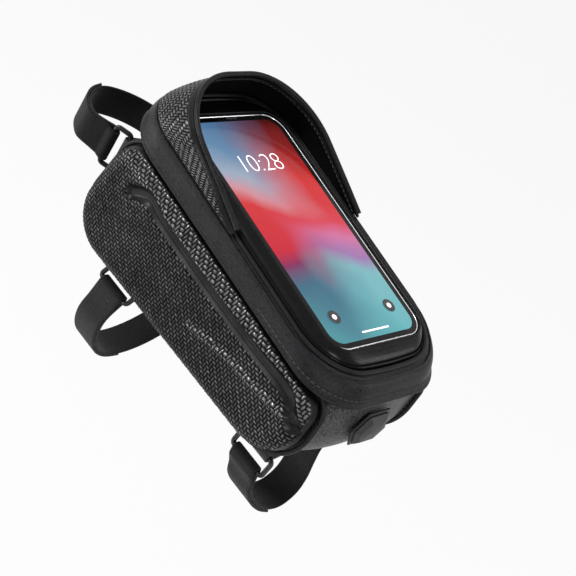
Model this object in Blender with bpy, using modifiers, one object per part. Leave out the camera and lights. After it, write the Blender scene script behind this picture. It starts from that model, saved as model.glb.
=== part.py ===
"""Bicycle frame bag with a phone window, a sun visor and three cinch straps.

Metres, +X to the rider's right, +Y towards the handlebar, +Z up. The origin lies on the
underside of the base pad. The lid has a frame of its own: its origin is the middle of the
phone's glass, and it is tilted so that the window faces the rider.
"""

import math

import bmesh
import bpy
from mathutils import Matrix, Vector

# Gap kept between pieces that touch
FIT = 0.0003

# Phone
PHONE_WIDTH = 0.0774
PHONE_LENGTH = 0.1575
PHONE_THICKNESS = 0.0077
PHONE_CORNER = 0.0125
PHONE_GLASS = 0.0008
PHONE_EDGE_ROUND = 0.0012

# Lid: its place, and the width of the black border round the phone
LID_TILT = math.radians(8.0)
GLASS_HEIGHT = 0.0914
SIDE_BORDER = 0.0091
FRONT_BORDER = 0.0180
REAR_BORDER = 0.0126
RIM_DROP = 0.0050
RIM_FRONT_CORNER = 0.0250
RIM_REAR_CORNER = 0.0290
RIM_FRONT_BOW = 0.0050
RIM_REAR_BOW = 0.0046
PIPING_RADIUS = 0.0016
FILM_THICKNESS = 0.0005
FILM_LAP = 0.0007
BORDER_WALL = 0.0010
BORDER_FOOT_DROP = 0.0006

# Heights of the border at places from the film, 0, to the rim, 1
BORDER_PROFILE = ((0.0, 0.0008), (0.2, 0.0006), (0.55, -0.0012), (0.85, -0.0032))

# Pocket under the phone
POCKET_WALL = 0.0008
POCKET_FLANGE_DEPTH = 0.0070
POCKET_FLANGE_INSET = 0.0006
POCKET_TOP_ROOM = 0.0022
POCKET_FLOOR_ROOM = 0.0012

# Band that slopes down from the rim and hangs over the zip
BAND_WALL = 0.0018
BAND_SIDE_FLARE = 0.0009
BAND_FRONT_FLARE = 0.0049
BAND_REAR_FLARE = 0.0092
BAND_FRONT_CORNER = 0.0340
BAND_REAR_CORNER = 0.0300
BAND_FRONT_BOW = 0.0060
BAND_REAR_BOW = 0.0010
BAND_DROP_FRONT = 0.0219
BAND_DROP_REAR = 0.0169
BAND_SHOULDER_DROP = 0.0012
BAND_SHOULDER_SHARE = 0.22
BAND_WAIST_SHARE = 0.6

# Sun visor on the front half of the lid
VISOR_WALL = 0.0013
VISOR_LINING = 0.0005
VISOR_REAR_TIP = 0.0023
VISOR_FOOT_OUT = 0.0005
VISOR_FOOT_LIFT = 0.0014
VISOR_TIP_HEIGHT = 0.0018
VISOR_LEAN_SIDE = 0.0012
VISOR_LIP_FRONT = 0.0912
VISOR_LIP_HEIGHT = 0.0199
VISOR_LIP_CORNER = 0.0435
VISOR_SWELL = 0.0012
BINDING_RADIUS = 0.0015
BINDING_GAP = 0.0009

# Body below the lid
MOUTH_BELOW_BAND = 0.0040
SHELL_WALL = 0.0025
GUSSET_WALL = 0.0022
SEAM_HALF_TOP = 0.0455
SEAM_TAPER = 0.02
SEAM_BASE_HEIGHT = 0.0035
SEAM_FRONT_TOP = 0.0935
SEAM_FRONT_BASE = 0.1080
SEAM_REAR = 0.0940
SEAM_FRONT_TOP_RADIUS = 0.0180
SEAM_FRONT_BASE_RADIUS = 0.0260
SEAM_REAR_BASE_RADIUS = 0.0330
SEAM_REAR_TOP_RADIUS = 0.0110
GUSSET_FRONT = 0.1065
GUSSET_REAR = 0.0995
GUSSET_FRONT_RADIUS = 0.0260
GUSSET_REAR_RADIUS = 0.0330
GUSSET_BOW_POWER = 2.4
PAD_THICKNESS = 0.0015
PAD_HALF_WIDTH = 0.0290
PAD_FRONT = 0.0300
PAD_REAR = 0.0520
PAD_CORNER = 0.0060

# Moulded relief of the side shells
SHELL_SWELL = 0.0085
SHELL_EDGE = 0.0110
CHANNEL_DEPTH = 0.0016
RIDGE_HEIGHT = 0.0012
CHANNEL_RIDGE_HEIGHT = 0.0010
CHANNEL_HALF_WIDTH = 0.0035

# Zip
ZIP_INSET = 0.0007
COIL_WIDTH = 0.0016
COIL_HEIGHT = 0.0012
COIL_PARTING = 0.0009
TAPE_WALL = 0.0008
TAPE_BELOW_MOUTH = 0.0070
ZIP_FRONT_END = 0.0660
ZIP_REAR_CORNER = 0.0150
ZIP_REAR_BOW = 0.0095
ZIP_REAR_INSET = 0.0030
ZIP_HEAD_INSET = 0.0004
SLIDER_LENGTH = 0.0100
SLIDER_PLATE = 0.0010
SLIDER_BRIDGE = 0.0003
SLIDER_REST = 0.0560
SLIDER_LUG_LENGTH = 0.0018
SLIDER_LUG_INSET = 0.0004
PULL_LENGTH = 0.0240
PULL_HEIGHT = 0.0030
PULL_WALL = 0.0012
PULL_PIN_RADIUS = 0.0006

# Cable port in the rear wall
PORT_BELOW_MOUTH = 0.0182
PORT_HALF_WIDTH = 0.0090
PORT_HALF_HEIGHT = 0.0045
PORT_CUT_REACH = 0.0088
GROMMET_HALF_WIDTH = 0.0150
GROMMET_HALF_HEIGHT = 0.0122
GROMMET_WALL = 0.0012
CAP_HALF_WIDTH = 0.0132
CAP_HALF_HEIGHT = 0.0104
CAP_WALL = 0.0014
CAP_RISE = 0.0020
CAP_BEVEL = 0.0028
CAP_CREASE_SHARE = 0.35
CAP_CREASE_HALF = 0.0004
CAP_CREASE_RISE = 0.0008
PLUG_CLEARANCE = 0.0015
PLUG_DEPTH = 0.0013
HEXAGON_SHOULDER = 0.58

# Straps, their rings and the webbing tabs that hold the rings
STRAP_WIDTH = 0.0200
STRAP_WALL = 0.0016
TAB_WALL = 0.0012
RING_BAR_RADIUS = 0.0015
RING_LENGTH = 0.0260
RING_REACH = 0.0090
STRAP_PLY_GAP = 0.0005
MIDDLE_STRAP_Y = 0.0582
MIDDLE_STRAP_LEAN = 0.14
REAR_STRAP_Y = -0.0700
REAR_STRAP_LEAN = -0.115
FRONT_STRAP_HEIGHT = 0.0481
FRONT_STRAP_LEAN = 0.14
RING_LEAN = 0.0045
FRONT_RING_LEAN = 0.0060
FRONT_RING_SHORTER = 0.0010
RING_BAR_FROM_MIDDLE = 0.0340
FRONT_RING_FROM_MIDDLE = 0.0270
STRAP_LEAD = 0.0035
TAB_END = -0.0160
FRONT_TAB_END = -0.0120
TAB_SEW_LENGTH = 0.0020
TAB_PLY_GAP = 0.0004
TAB_FOLD_SHARE = 0.45
TAB_FOLD_DROP = 0.72

# Cloth hinge
HINGE_TAPE_SHARE = 0.44
HINGE_TAPE_STEPS = 4
HINGE_TAPE_LEAN = 0.0004

# How finely curves are divided
CORNER_STEPS = 5
SIDE_STEPS = 5
END_STEPS = 3
PATH_STEPS = 3
BAR_STEPS = 6
VISOR_SIDE_STEPS = 5
VISOR_SHARES = (0.0, 0.35, 0.7, 1.0)
ROUND_STEPS = 6
FRONT_STEPS = 3
BASE_STEPS = 5
REAR_STEPS = 2
SHELL_COLUMNS = 34
SHELL_EVEN_SHARE = 0.45
SHELL_LEAST_ROW = 0.02
SHELL_EDGE_ROWS = (0.003, 0.008)
SHELL_LINE_MARKS = (-1.3, 0, 1.3)


def start_scene():
    for old in list(bpy.data.objects):
        bpy.data.objects.remove(old, do_unlink=True)
    parts = bpy.data.collections.new("frame_bag")
    cutters = bpy.data.collections.new("cutters")
    bpy.context.scene.collection.children.link(parts)
    bpy.context.scene.collection.children.link(cutters)
    return parts, cutters


PARTS, CUTTERS = start_scene()


def material(name, colour, roughness, metallic=0.0, alpha=1.0):
    made = bpy.data.materials.new(name)
    made.use_nodes = True
    shader = made.node_tree.nodes["Principled BSDF"]
    shader.inputs["Base Color"].default_value = (*colour, 1.0)
    shader.inputs["Roughness"].default_value = roughness
    shader.inputs["Metallic"].default_value = metallic
    shader.inputs["Alpha"].default_value = alpha
    return made


TEXTURED = material("textured_cover", (0.020, 0.021, 0.023), 0.42)
SMOOTH = material("smooth_cover", (0.030, 0.031, 0.033), 0.55)
GLOSS = material("gloss_border", (0.010, 0.010, 0.011), 0.15)
CLEAR = material("clear_film", (0.90, 0.92, 0.94), 0.05, alpha=0.2)
TRIM = material("piping", (0.025, 0.025, 0.027), 0.45)
LINING = material("lining", (0.012, 0.012, 0.014), 0.6)
FABRIC = material("zip_tape", (0.018, 0.018, 0.019), 0.9)
STRAP = material("strap", (0.030, 0.030, 0.031), 0.85)
PLASTIC = material("moulded_plastic", (0.022, 0.022, 0.023), 0.4)
RUBBER = material("rubber", (0.018, 0.018, 0.019), 0.6)
SILVER = material("phone_frame", (0.70, 0.71, 0.73), 0.2, metallic=1.0)
DISPLAY = material("phone_glass", (0.45, 0.30, 0.45), 0.1)
DARK_METAL = material("slider_metal", (0.06, 0.06, 0.065), 0.35, metallic=1.0)


# Frames and lines


def lid_to_row(point):
    """A point of the lid's frame, in the bag's frame."""
    x, y, z = point
    cosine, sine = math.cos(LID_TILT), math.sin(LID_TILT)
    return Vector((x, y * cosine - z * sine, GLASS_HEIGHT + y * sine + z * cosine))


def mix(a, b, share):
    return a + (b - a) * share


def between(p, q, share):
    return tuple(mix(a, b, share) for a, b in zip(p, q))


def straight(p, q, steps):
    """The points from p to q, both included."""
    return [between(p, q, i / steps) for i in range(steps + 1)]


def smooth_path(points, steps=PATH_STEPS):
    """A Catmull-Rom curve through the points of an open path."""
    padded = [points[0], *points, points[-1]]
    path = []
    for i in range(1, len(padded) - 2):
        p0, p1, p2, p3 = (Vector(p) for p in padded[i - 1 : i + 3])
        for k in range(steps):
            t = k / steps
            curve = 2 * p1 + (p2 - p0) * t + (2 * p0 - 5 * p1 + 4 * p2 - p3) * t * t
            curve += (3 * p1 - p0 - 3 * p2 + p3) * t * t * t
            path.append(tuple(curve / 2))
    path.append(tuple(points[-1]))
    return path


def fillet(before, corner, after, radius, steps):
    """The round that replaces a corner, as steps + 1 points of (y, z)."""
    corner = Vector(corner)
    back = (Vector(before) - corner).normalized()
    ahead = (Vector(after) - corner).normalized()
    half = back.angle(ahead) / 2
    middle = corner + (back + ahead).normalized() * radius / math.sin(half)
    start = corner + back * radius / math.tan(half) - middle
    turn = start.angle_signed(corner + ahead * radius / math.tan(half) - middle)
    round_points = []
    for i in range(steps + 1):
        angle = -turn * i / steps
        cosine, sine = math.cos(angle), math.sin(angle)
        spoke = (start.x * cosine - start.y * sine, start.x * sine + start.y * cosine)
        round_points.append((middle.x + spoke[0], middle.y + spoke[1]))
    return round_points


def arc(centre, radius, first, last, steps):
    """Points of a circle from one angle to another, in degrees."""
    angles = [math.radians(mix(first, last, i / steps)) for i in range(steps + 1)]
    return [(centre[0] + radius * math.cos(a), centre[1] + radius * math.sin(a)) for a in angles]


def plan_half(half, front, rear, front_corner, rear_corner, front_bow, rear_bow):
    """The left half of an outline seen from above, from its front middle to its rear middle."""

    def end(sign, reach, corner, bow):
        curve = [(-(half - corner) * i / END_STEPS, reach) for i in range(END_STEPS)]
        curve += arc((corner - half, reach - corner), corner, 90, 180, CORNER_STEPS)
        return [(x, sign * (y - bow * (x / half) ** 2)) for x, y in curve]

    ahead = end(1, front, front_corner, front_bow)
    behind = end(-1, rear, rear_corner, rear_bow)
    side = straight(ahead[-1], behind[-1], SIDE_STEPS)[1:-1]
    return ahead + side + behind[::-1]


def plan_loop(*sizes):
    """The whole outline, from its front middle round by the left."""
    left = plan_half(*sizes)
    return left + [(-x, y) for x, y in left[-2:0:-1]]


# Mesh helpers


def place(obj, shading=True):
    PARTS.objects.link(obj)
    if shading and obj.type == "MESH":
        obj.data.shade_smooth()
        obj.data.set_sharp_from_angle(angle=math.radians(40))
    return obj


def mesh_object(name, mesh_builder, finish):
    mesh = bpy.data.meshes.new(name)
    mesh_builder.to_mesh(mesh)
    mesh_builder.free()
    mesh.materials.append(finish)
    return place(bpy.data.objects.new(name, mesh))


def sheet_mesh(rows, closed=False):
    """An open surface through rows of points, each row as long as the first."""
    made = bmesh.new()
    grid = [[made.verts.new(point) for point in row] for row in rows]
    columns = len(rows[0])
    for lower, upper in zip(grid, grid[1:]):
        for i in range(columns if closed else columns - 1):
            j = (i + 1) % columns
            made.faces.new((lower[i], lower[j], upper[j], upper[i]))
    return made


def shell_object(name, rows, finish, wall, closed=False, flip=False):
    """A surface with its wall behind it."""
    made = sheet_mesh(rows, closed)
    if flip:
        bmesh.ops.reverse_faces(made, faces=made.faces[:])
    obj = mesh_object(name, made, finish)
    solid = obj.modifiers.new("wall", "SOLIDIFY")
    solid.thickness = wall
    solid.offset = -1.0
    solid.use_even_offset = True
    return obj


def capped_loft(name, rows, finish):
    """A closed solid through rings of points, with a face on each end."""
    made = sheet_mesh(rows, closed=True)
    made.verts.ensure_lookup_table()
    count = len(rows[0])
    made.faces.new(made.verts[:count][::-1])
    made.faces.new(made.verts[-count:])
    bmesh.ops.recalc_face_normals(made, faces=made.faces[:])
    return mesh_object(name, made, finish)


def tube(name, points, radius, finish, cyclic=False, resolution=1):
    """A round cord along a line, as a curve with filled ends."""
    curve = bpy.data.curves.new(name, "CURVE")
    curve.dimensions = "3D"
    curve.bevel_depth = radius
    curve.bevel_resolution = resolution
    curve.use_fill_caps = True
    line = curve.splines.new("POLY")
    line.points.add(len(points) - 1)
    for target, point in zip(line.points, points):
        target.co = (*point, 1.0)
    line.use_cyclic_u = cyclic
    curve.materials.append(finish)
    return place(bpy.data.objects.new(name, curve))


def plate(name, outlines, low, high, finish, edge_round=0.0):
    """A flat plate between two heights, its outline and any holes as 2D curves."""
    curve = bpy.data.curves.new(name, "CURVE")
    curve.dimensions = "2D"
    curve.fill_mode = "BOTH"
    curve.extrude = (high - low) / 2 - edge_round
    curve.bevel_depth = edge_round
    curve.bevel_resolution = 1
    curve.offset = -edge_round
    for outline in outlines:
        line = curve.splines.new("POLY")
        line.points.add(len(outline) - 1)
        for target, point in zip(line.points, outline):
            target.co = (point[0], point[1], 0.0, 1.0)
        line.use_cyclic_u = True
    curve.materials.append(finish)
    obj = place(bpy.data.objects.new(name, curve))
    obj.location.z = (low + high) / 2
    return obj


def empty(name, location, rotation_x=0.0):
    made = bpy.data.objects.new(name, None)
    PARTS.objects.link(made)
    made.location = location
    made.rotation_euler.x = rotation_x
    return made


# Lid outlines, in the lid's frame

PHONE_HALF = PHONE_WIDTH / 2
PHONE_END = PHONE_LENGTH / 2
RIM_HALF = PHONE_HALF + SIDE_BORDER + PIPING_RADIUS
RIM_FRONT = PHONE_END + FRONT_BORDER + PIPING_RADIUS
RIM_REAR = PHONE_END + REAR_BORDER + PIPING_RADIUS
BAND_TOP = PIPING_RADIUS + FIT + BAND_WALL


def phone_loop(grow, height):
    half, end, corner = PHONE_HALF + grow, PHONE_END + grow, PHONE_CORNER + grow
    loop = plan_loop(half, end, end, corner, corner, 0, 0)
    return [(x, y, height) for x, y in loop]


def rim_sizes(grow):
    return (
        RIM_HALF + grow,
        RIM_FRONT + grow,
        RIM_REAR + grow,
        RIM_FRONT_CORNER + grow,
        RIM_REAR_CORNER + grow,
        RIM_FRONT_BOW,
        RIM_REAR_BOW,
    )


def rim_loop(grow, height):
    return [(x, y, height) for x, y in plan_loop(*rim_sizes(grow))]


BAND_HALF = RIM_HALF + BAND_TOP + BAND_SIDE_FLARE
BAND_FRONT = RIM_FRONT + BAND_TOP + BAND_FRONT_FLARE
BAND_REAR = RIM_REAR + BAND_TOP + BAND_REAR_FLARE


def band_drop(y):
    """How far the band's lower edge hangs below the phone's glass, deeper towards the front."""
    return mix(BAND_DROP_REAR, BAND_DROP_FRONT, (y + BAND_REAR) / (BAND_FRONT + BAND_REAR))


def band_loop():
    loop = plan_loop(
        BAND_HALF, BAND_FRONT, BAND_REAR, BAND_FRONT_CORNER, BAND_REAR_CORNER, BAND_FRONT_BOW, BAND_REAR_BOW
    )
    return [(x, y, -band_drop(y)) for x, y in loop]


def loop_between(first, second, share, height=None):
    loop = [between(p, q, share) for p, q in zip(first, second)]
    return loop if height is None else [(x, y, height) for x, y, _ in loop]


# The mouth is the body's top edge: a slanted line in the side view
MOUTH_FRONT_POINT = lid_to_row((0, BAND_FRONT, -BAND_DROP_FRONT - MOUTH_BELOW_BAND))
MOUTH_REAR_POINT = lid_to_row((0, -BAND_REAR, -BAND_DROP_REAR - MOUTH_BELOW_BAND))


def mouth_height(y):
    share = (y - MOUTH_REAR_POINT.y) / (MOUTH_FRONT_POINT.y - MOUTH_REAR_POINT.y)
    return mix(MOUTH_REAR_POINT.z, MOUTH_FRONT_POINT.z, share)


def lid_height(y, depth):
    """The height over the base of a plane that lies depth below the phone's glass."""
    return GLASS_HEIGHT + (y * math.sin(LID_TILT) - depth) / math.cos(LID_TILT)


# Lid pieces


def make_lid(frame):
    pieces = []
    rim = rim_loop(BAND_TOP, -RIM_DROP)
    skirt = band_loop()
    shoulder = loop_between(rim, skirt, BAND_SHOULDER_SHARE, -RIM_DROP - BAND_SHOULDER_DROP)
    rows = [rim, shoulder, loop_between(rim, skirt, BAND_WAIST_SHARE), skirt]
    pieces.append(shell_object("lid_band", rows, SMOOTH, BAND_WALL, closed=True, flip=True))

    pieces.append(tube("rim_piping", rim_loop(0, -RIM_DROP), PIPING_RADIUS, TRIM, cyclic=True, resolution=2))

    film_top = FIT + FILM_THICKNESS
    inner = phone_loop(FILM_LAP + FIT, film_top)
    outer = rim_loop(-PIPING_RADIUS - FIT, -RIM_DROP - BORDER_FOOT_DROP)
    rows = [loop_between(inner, outer, share, height) for share, height in BORDER_PROFILE]
    rows.append(outer)
    pieces.append(shell_object("window_border", rows, GLOSS, BORDER_WALL, closed=True, flip=True))

    pieces.append(plate("window_film", [phone_loop(FILM_LAP, 0)], FIT, film_top, CLEAR))
    pieces.append(plate("phone_glass", [phone_loop(0, 0)], -PHONE_GLASS, 0, DISPLAY))
    side_top = -PHONE_GLASS - FIT
    sides = plate("phone_frame", [phone_loop(0, 0)], -PHONE_THICKNESS, side_top, SILVER, PHONE_EDGE_ROUND)
    pieces.append(sides)

    floor = -PHONE_THICKNESS - FIT
    rows = [
        rim_loop(PIPING_RADIUS - POCKET_FLANGE_INSET, -POCKET_FLANGE_DEPTH),
        phone_loop(POCKET_TOP_ROOM, -POCKET_FLANGE_DEPTH),
        phone_loop(POCKET_FLOOR_ROOM, floor),
    ]
    made = sheet_mesh(rows, closed=True)
    made.verts.ensure_lookup_table()
    made.faces.new(made.verts[-len(rows[0]) :])
    bmesh.ops.recalc_face_normals(made, faces=made.faces[:])
    if made.faces[0].normal.z < 0:
        bmesh.ops.reverse_faces(made, faces=made.faces[:])
    pocket = mesh_object("phone_pocket", made, FABRIC)
    wall = pocket.modifiers.new("wall", "SOLIDIFY")
    wall.thickness = POCKET_WALL
    wall.offset = -1.0
    pieces.append(pocket)

    for piece in pieces + make_visor():
        piece.parent = frame


def visor_lines():
    """The foot and the lip of the visor's wall, from its left tip round to its right one."""
    lip_half = RIM_HALF + BAND_TOP - VISOR_LEAN_SIDE
    lip_sizes = (lip_half, VISOR_LIP_FRONT, 0, VISOR_LIP_CORNER, VISOR_LIP_CORNER, 0, 0)

    def half_line(sizes):
        """From the front middle to the rear tip."""
        front = plan_half(*sizes)[: END_STEPS + CORNER_STEPS + 1]
        return front + straight(front[-1], (front[-1][0], VISOR_REAR_TIP), VISOR_SIDE_STEPS)[1:]

    foot = half_line(rim_sizes(BAND_TOP + VISOR_FOOT_OUT))
    lip = half_line(lip_sizes)
    low = VISOR_FOOT_LIFT - RIM_DROP
    slope = (VISOR_LIP_HEIGHT - low - VISOR_TIP_HEIGHT) / (VISOR_LIP_FRONT - VISOR_REAR_TIP)
    left_foot = [(x, y, low) for x, y in foot]
    left_lip = [(x, y, low + VISOR_TIP_HEIGHT + slope * (y - VISOR_REAR_TIP)) for x, y in lip]
    return [line[::-1] + [(-x, y, z) for x, y, z in line[1:]] for line in (left_foot, left_lip)]


def visor_rows():
    """Rows of the visor's outer face from foot to lip, swelling slightly between them."""
    foot, lip = visor_lines()
    rows = []
    for share in VISOR_SHARES:
        swell = VISOR_SWELL * 4 * share * (1 - share)
        row = []
        for p, q in zip(foot, lip):
            x, y, z = between(p, q, share)
            reach = math.hypot(x, max(y, FIT))
            tall = (q[2] - p[2]) / (VISOR_LIP_HEIGHT + RIM_DROP)
            row.append((x + swell * tall * x / reach, y + swell * tall * y / reach, z))
        rows.append(row)
    return rows


def inset_rows(rows, distance):
    """The same grid, moved towards the side that its normals point away from."""
    moved = []
    for i, row in enumerate(rows):
        line = []
        for j, point in enumerate(row):
            along = Vector(row[min(j + 1, len(row) - 1)]) - Vector(row[max(j - 1, 0)])
            across = Vector(rows[min(i + 1, len(rows) - 1)][j]) - Vector(rows[max(i - 1, 0)][j])
            normal = across.cross(along).normalized()
            line.append(tuple(Vector(point) - normal * distance))
        moved.append(line)
    return moved


def make_visor():
    outer = visor_rows()
    shell = shell_object("visor_shell", outer, TEXTURED, VISOR_WALL, flip=True)
    inner = inset_rows(outer, VISOR_WALL + FIT)
    lining = shell_object("visor_lining", inner, LINING, VISOR_LINING, flip=True)
    middle = inset_rows(outer, (VISOR_WALL + VISOR_LINING + FIT) / 2)[-1]
    line = [(x, y, z + BINDING_RADIUS + BINDING_GAP) for x, y, z in middle]
    return [shell, lining, tube("visor_binding", line, BINDING_RADIUS, TRIM)]


# Body outlines in the side view, as (y, z)

MOUTH_SLOPE = mouth_height(1.0) - mouth_height(0.0)
PORT_HEIGHT = mouth_height(-GUSSET_REAR) - PORT_BELOW_MOUTH


def seam_corners():
    """The corners of the side shells' outline: rear top, front top, front base, rear base."""
    return [
        (-SEAM_REAR, mouth_height(-SEAM_REAR)),
        (SEAM_FRONT_TOP, mouth_height(SEAM_FRONT_TOP)),
        (SEAM_FRONT_BASE, SEAM_BASE_HEIGHT),
        (-SEAM_REAR, SEAM_BASE_HEIGHT),
    ]



def seam_line():
    """From the mouth's front end down the front, along the base and up the rear."""
    rear_top, front_top, front_base, rear_base = seam_corners()
    first = fillet(rear_top, front_top, front_base, SEAM_FRONT_TOP_RADIUS, ROUND_STEPS)
    second = fillet(front_top, front_base, rear_base, SEAM_FRONT_BASE_RADIUS, ROUND_STEPS)
    third = fillet(front_base, rear_base, rear_top, SEAM_REAR_BASE_RADIUS, ROUND_STEPS)
    fourth = fillet(rear_base, rear_top, front_top, SEAM_REAR_TOP_RADIUS, REAR_STEPS)
    line = first + straight(first[-1], second[0], FRONT_STEPS)[1:-1]
    line += second + straight(second[-1], third[0], BASE_STEPS)[1:-1]
    line += third + straight(third[-1], fourth[0], REAR_STEPS)[1:-1] + fourth
    return line


def middle_line():
    """The gusset's line in the plane of symmetry, with as many points as the seam's."""
    base = PAD_THICKNESS + FIT
    seam = seam_line()
    top = (GUSSET_FRONT, mouth_height(GUSSET_FRONT))
    front_base = (GUSSET_FRONT, base)
    rear_base = (-GUSSET_REAR, base)
    rear_top = (-GUSSET_REAR, mouth_height(-GUSSET_REAR))
    shoulder = (GUSSET_FRONT, seam[ROUND_STEPS][1])
    second = fillet(top, front_base, rear_base, GUSSET_FRONT_RADIUS, ROUND_STEPS)
    third = fillet(front_base, rear_base, rear_top, GUSSET_REAR_RADIUS, ROUND_STEPS)
    neck = (-GUSSET_REAR, seam[-REAR_STEPS - 1][1])
    line = straight(top, shoulder, ROUND_STEPS)
    line += straight(shoulder, second[0], FRONT_STEPS)[1:-1] + second
    line += straight(second[-1], third[0], BASE_STEPS)[1:-1] + third
    line += straight(third[-1], neck, REAR_STEPS)[1:-1] + straight(neck, rear_top, REAR_STEPS)
    return line


def seam_half(y, z):
    """Half the distance between the two side seams, narrower the further it is below the mouth."""
    return SEAM_HALF_TOP - SEAM_TAPER * (mouth_height(y) - z)


def gusset_point(seam, middle, across):
    """A point of the gusset's outer face, across from -1 on the left to 1 on the right."""
    bow = 1 - abs(across) ** GUSSET_BOW_POWER
    half = seam_half(*seam) - SHELL_WALL - FIT
    return (across * half, mix(seam[0], middle[0], bow), mix(seam[1], middle[1], bow))


GUSSET_ACROSS = [-1, -0.88, -0.72, -0.5, -0.25, 0, 0.25, 0.5, 0.72, 0.88, 1]


def make_gusset():
    rows = [[gusset_point(s, m, a) for a in GUSSET_ACROSS] for s, m in zip(seam_line(), middle_line())]
    gusset = shell_object("gusset", rows, TEXTURED, GUSSET_WALL)
    cut = bmesh.new()
    outline = hexagon(PORT_HALF_WIDTH, PORT_HALF_HEIGHT)
    ends = (-GUSSET_REAR - PORT_CUT_REACH, -GUSSET_REAR + PORT_CUT_REACH)
    rings = [[cut.verts.new((x, y, z + PORT_HEIGHT)) for x, z in outline] for y in ends]
    for i in range(6):
        j = (i + 1) % 6
        cut.faces.new((rings[0][i], rings[0][j], rings[1][j], rings[1][i]))
    cut.faces.new(rings[0][::-1])
    cut.faces.new(rings[1])
    bmesh.ops.recalc_face_normals(cut, faces=cut.faces[:])
    mesh = bpy.data.meshes.new("port_cutter")
    cut.to_mesh(mesh)
    cut.free()
    cutter = bpy.data.objects.new("port_cutter", mesh)
    cutter.hide_render = True
    cutter.display_type = "WIRE"
    CUTTERS.objects.link(cutter)
    hole = gusset.modifiers.new("port", "BOOLEAN")
    hole.operation = "DIFFERENCE"
    hole.object = cutter


def hexagon(half_width, half_height):
    """A hexagon with its points left and right, as (x, z)."""
    shoulder = half_width * HEXAGON_SHOULDER
    corners = [(half_width, 0), (shoulder, half_height), (-shoulder, half_height)]
    return corners + [(-x, -z) for x, z in corners]


# Side shells


def edge_heights(y):
    """The lowest and highest z of the side outline at a given y."""
    line = seam_line()
    front = max(range(len(line)), key=lambda i: line[i][0])
    rear = min(range(len(line)), key=lambda i: line[i][0])
    lower = line[front : rear + 1][::-1]
    upper = line[rear:] + line[: front + 1]
    return height_on(lower, y), height_on(upper, y)


def height_on(line, y):
    for p, q in zip(line, line[1:]):
        if p[0] <= y <= q[0] and q[0] > p[0]:
            return mix(p[1], q[1], (y - p[0]) / (q[0] - p[0]))
    return line[0][1] if y < line[0][0] else line[-1][1]


def distance_to(line, y, z):
    """The shortest distance from a point to a broken line."""
    here = Vector((y, z))
    nearest = math.inf
    for p, q in zip(line, line[1:]):
        p, q = Vector(p), Vector(q)
        along = q - p
        share = max(0.0, min(1.0, (here - p).dot(along) / along.length_squared))
        nearest = min(nearest, (here - p - along * share).length)
    return nearest


# The sunk channel, as distances below the mouth, and the raised ridge under it
CHANNEL = [
    (0.072, 0.0205), (0.060, 0.0130), (0.044, 0.0142), (0.0, 0.0135), (-0.044, 0.0110), (-0.071, 0.0085),
    (-0.0820, 0.0110), (-0.0885, 0.0200),
]
CHANNEL_FRONT_POINTS = 2
RIDGE = [(-0.088, 0.0165), (-0.066, 0.0220), (-0.036, 0.0280), (-0.006, 0.0375)]
GROOVE_HALF_WIDTH = 1.6 * CHANNEL_HALF_WIDTH


def below_mouth(points):
    return [(y, mouth_height(y) - drop) for y, drop in points]


def bump(distance, half_width):
    """A smooth hump across a line, 1 on it and 0 beyond its half width."""
    if distance >= half_width:
        return 0.0
    return 0.5 + 0.5 * math.cos(math.pi * distance / half_width)


def shell_relief(y, z):
    """How far the shell's face stands out from its seam."""
    outline = seam_line()
    outline.append(outline[0])
    edge = min(1.0, distance_to(outline, y, z) / SHELL_EDGE)
    height = SHELL_SWELL * math.sqrt(1 - (1 - edge) ** 2)
    channel = below_mouth(CHANNEL)
    lifted = [(a, b + GROOVE_HALF_WIDTH) for a, b in channel[CHANNEL_FRONT_POINTS:]]
    height -= CHANNEL_DEPTH * bump(distance_to(channel, y, z), GROOVE_HALF_WIDTH)
    height += CHANNEL_RIDGE_HEIGHT * edge * bump(distance_to(lifted, y, z), CHANNEL_HALF_WIDTH)
    height += RIDGE_HEIGHT * edge * bump(distance_to(below_mouth(RIDGE), y, z), GROOVE_HALF_WIDTH)
    return height


def shell_stations():
    """The columns of the side shell along y, closer together near its ends."""
    line = seam_line()
    low = min(y for y, _ in line)
    high = max(y for y, _ in line)
    shares = [i / SHELL_COLUMNS for i in range(SHELL_COLUMNS + 1)]
    eased = [mix(0.5 - 0.5 * math.cos(math.pi * s), s, SHELL_EVEN_SHARE) for s in shares]
    return [mix(low, high, s) for s in eased]


def shell_heights(y):
    """The rows of the side shell at one column, which follow the ridge and the channel."""
    low, high = edge_heights(y)
    ridge = sorted(below_mouth(RIDGE))
    channel = sorted(below_mouth(CHANNEL))
    marks = []
    for line in (ridge, channel):
        middle = height_on(line, y)
        for step in SHELL_LINE_MARKS:
            marks.append(middle + step * CHANNEL_HALF_WIDTH)
    near, far = SHELL_EDGE_ROWS
    inside = [low, low + near, low + far, mix(low + far, marks[0], 0.5), *marks]
    inside += [mix(marks[-1], high, 0.5), high - near, high]
    span = high - low
    shares = [(z - low) / span if span > 0 else 0 for z in inside]
    floor = 0.0
    rows = []
    for i, share in enumerate(shares):
        least = floor + SHELL_LEAST_ROW if i else 0.0
        most = 1 - SHELL_LEAST_ROW * (len(shares) - 1 - i)
        floor = max(least, min(most, share)) if i < len(shares) - 1 else 1.0
        rows.append(mix(low, high, floor))
    return rows


def make_side_shell(name, side):
    """A moulded side, its wall measured across the bag."""
    rows = []
    for y in shell_stations():
        rows.append([(side * (seam_half(y, z) + shell_relief(y, z)), y, z) for z in shell_heights(y)])
    made = sheet_mesh(rows)
    outer = made.faces[:]
    if side > 0:
        bmesh.ops.reverse_faces(made, faces=outer)
    copied = bmesh.ops.extrude_face_region(made, geom=outer)
    moved = [item for item in copied["geom"] if isinstance(item, bmesh.types.BMVert)]
    bmesh.ops.translate(made, verts=moved, vec=(-side * SHELL_WALL, 0, 0))
    bmesh.ops.recalc_face_normals(made, faces=made.faces[:])
    mesh_object(name, made, TEXTURED)


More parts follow.
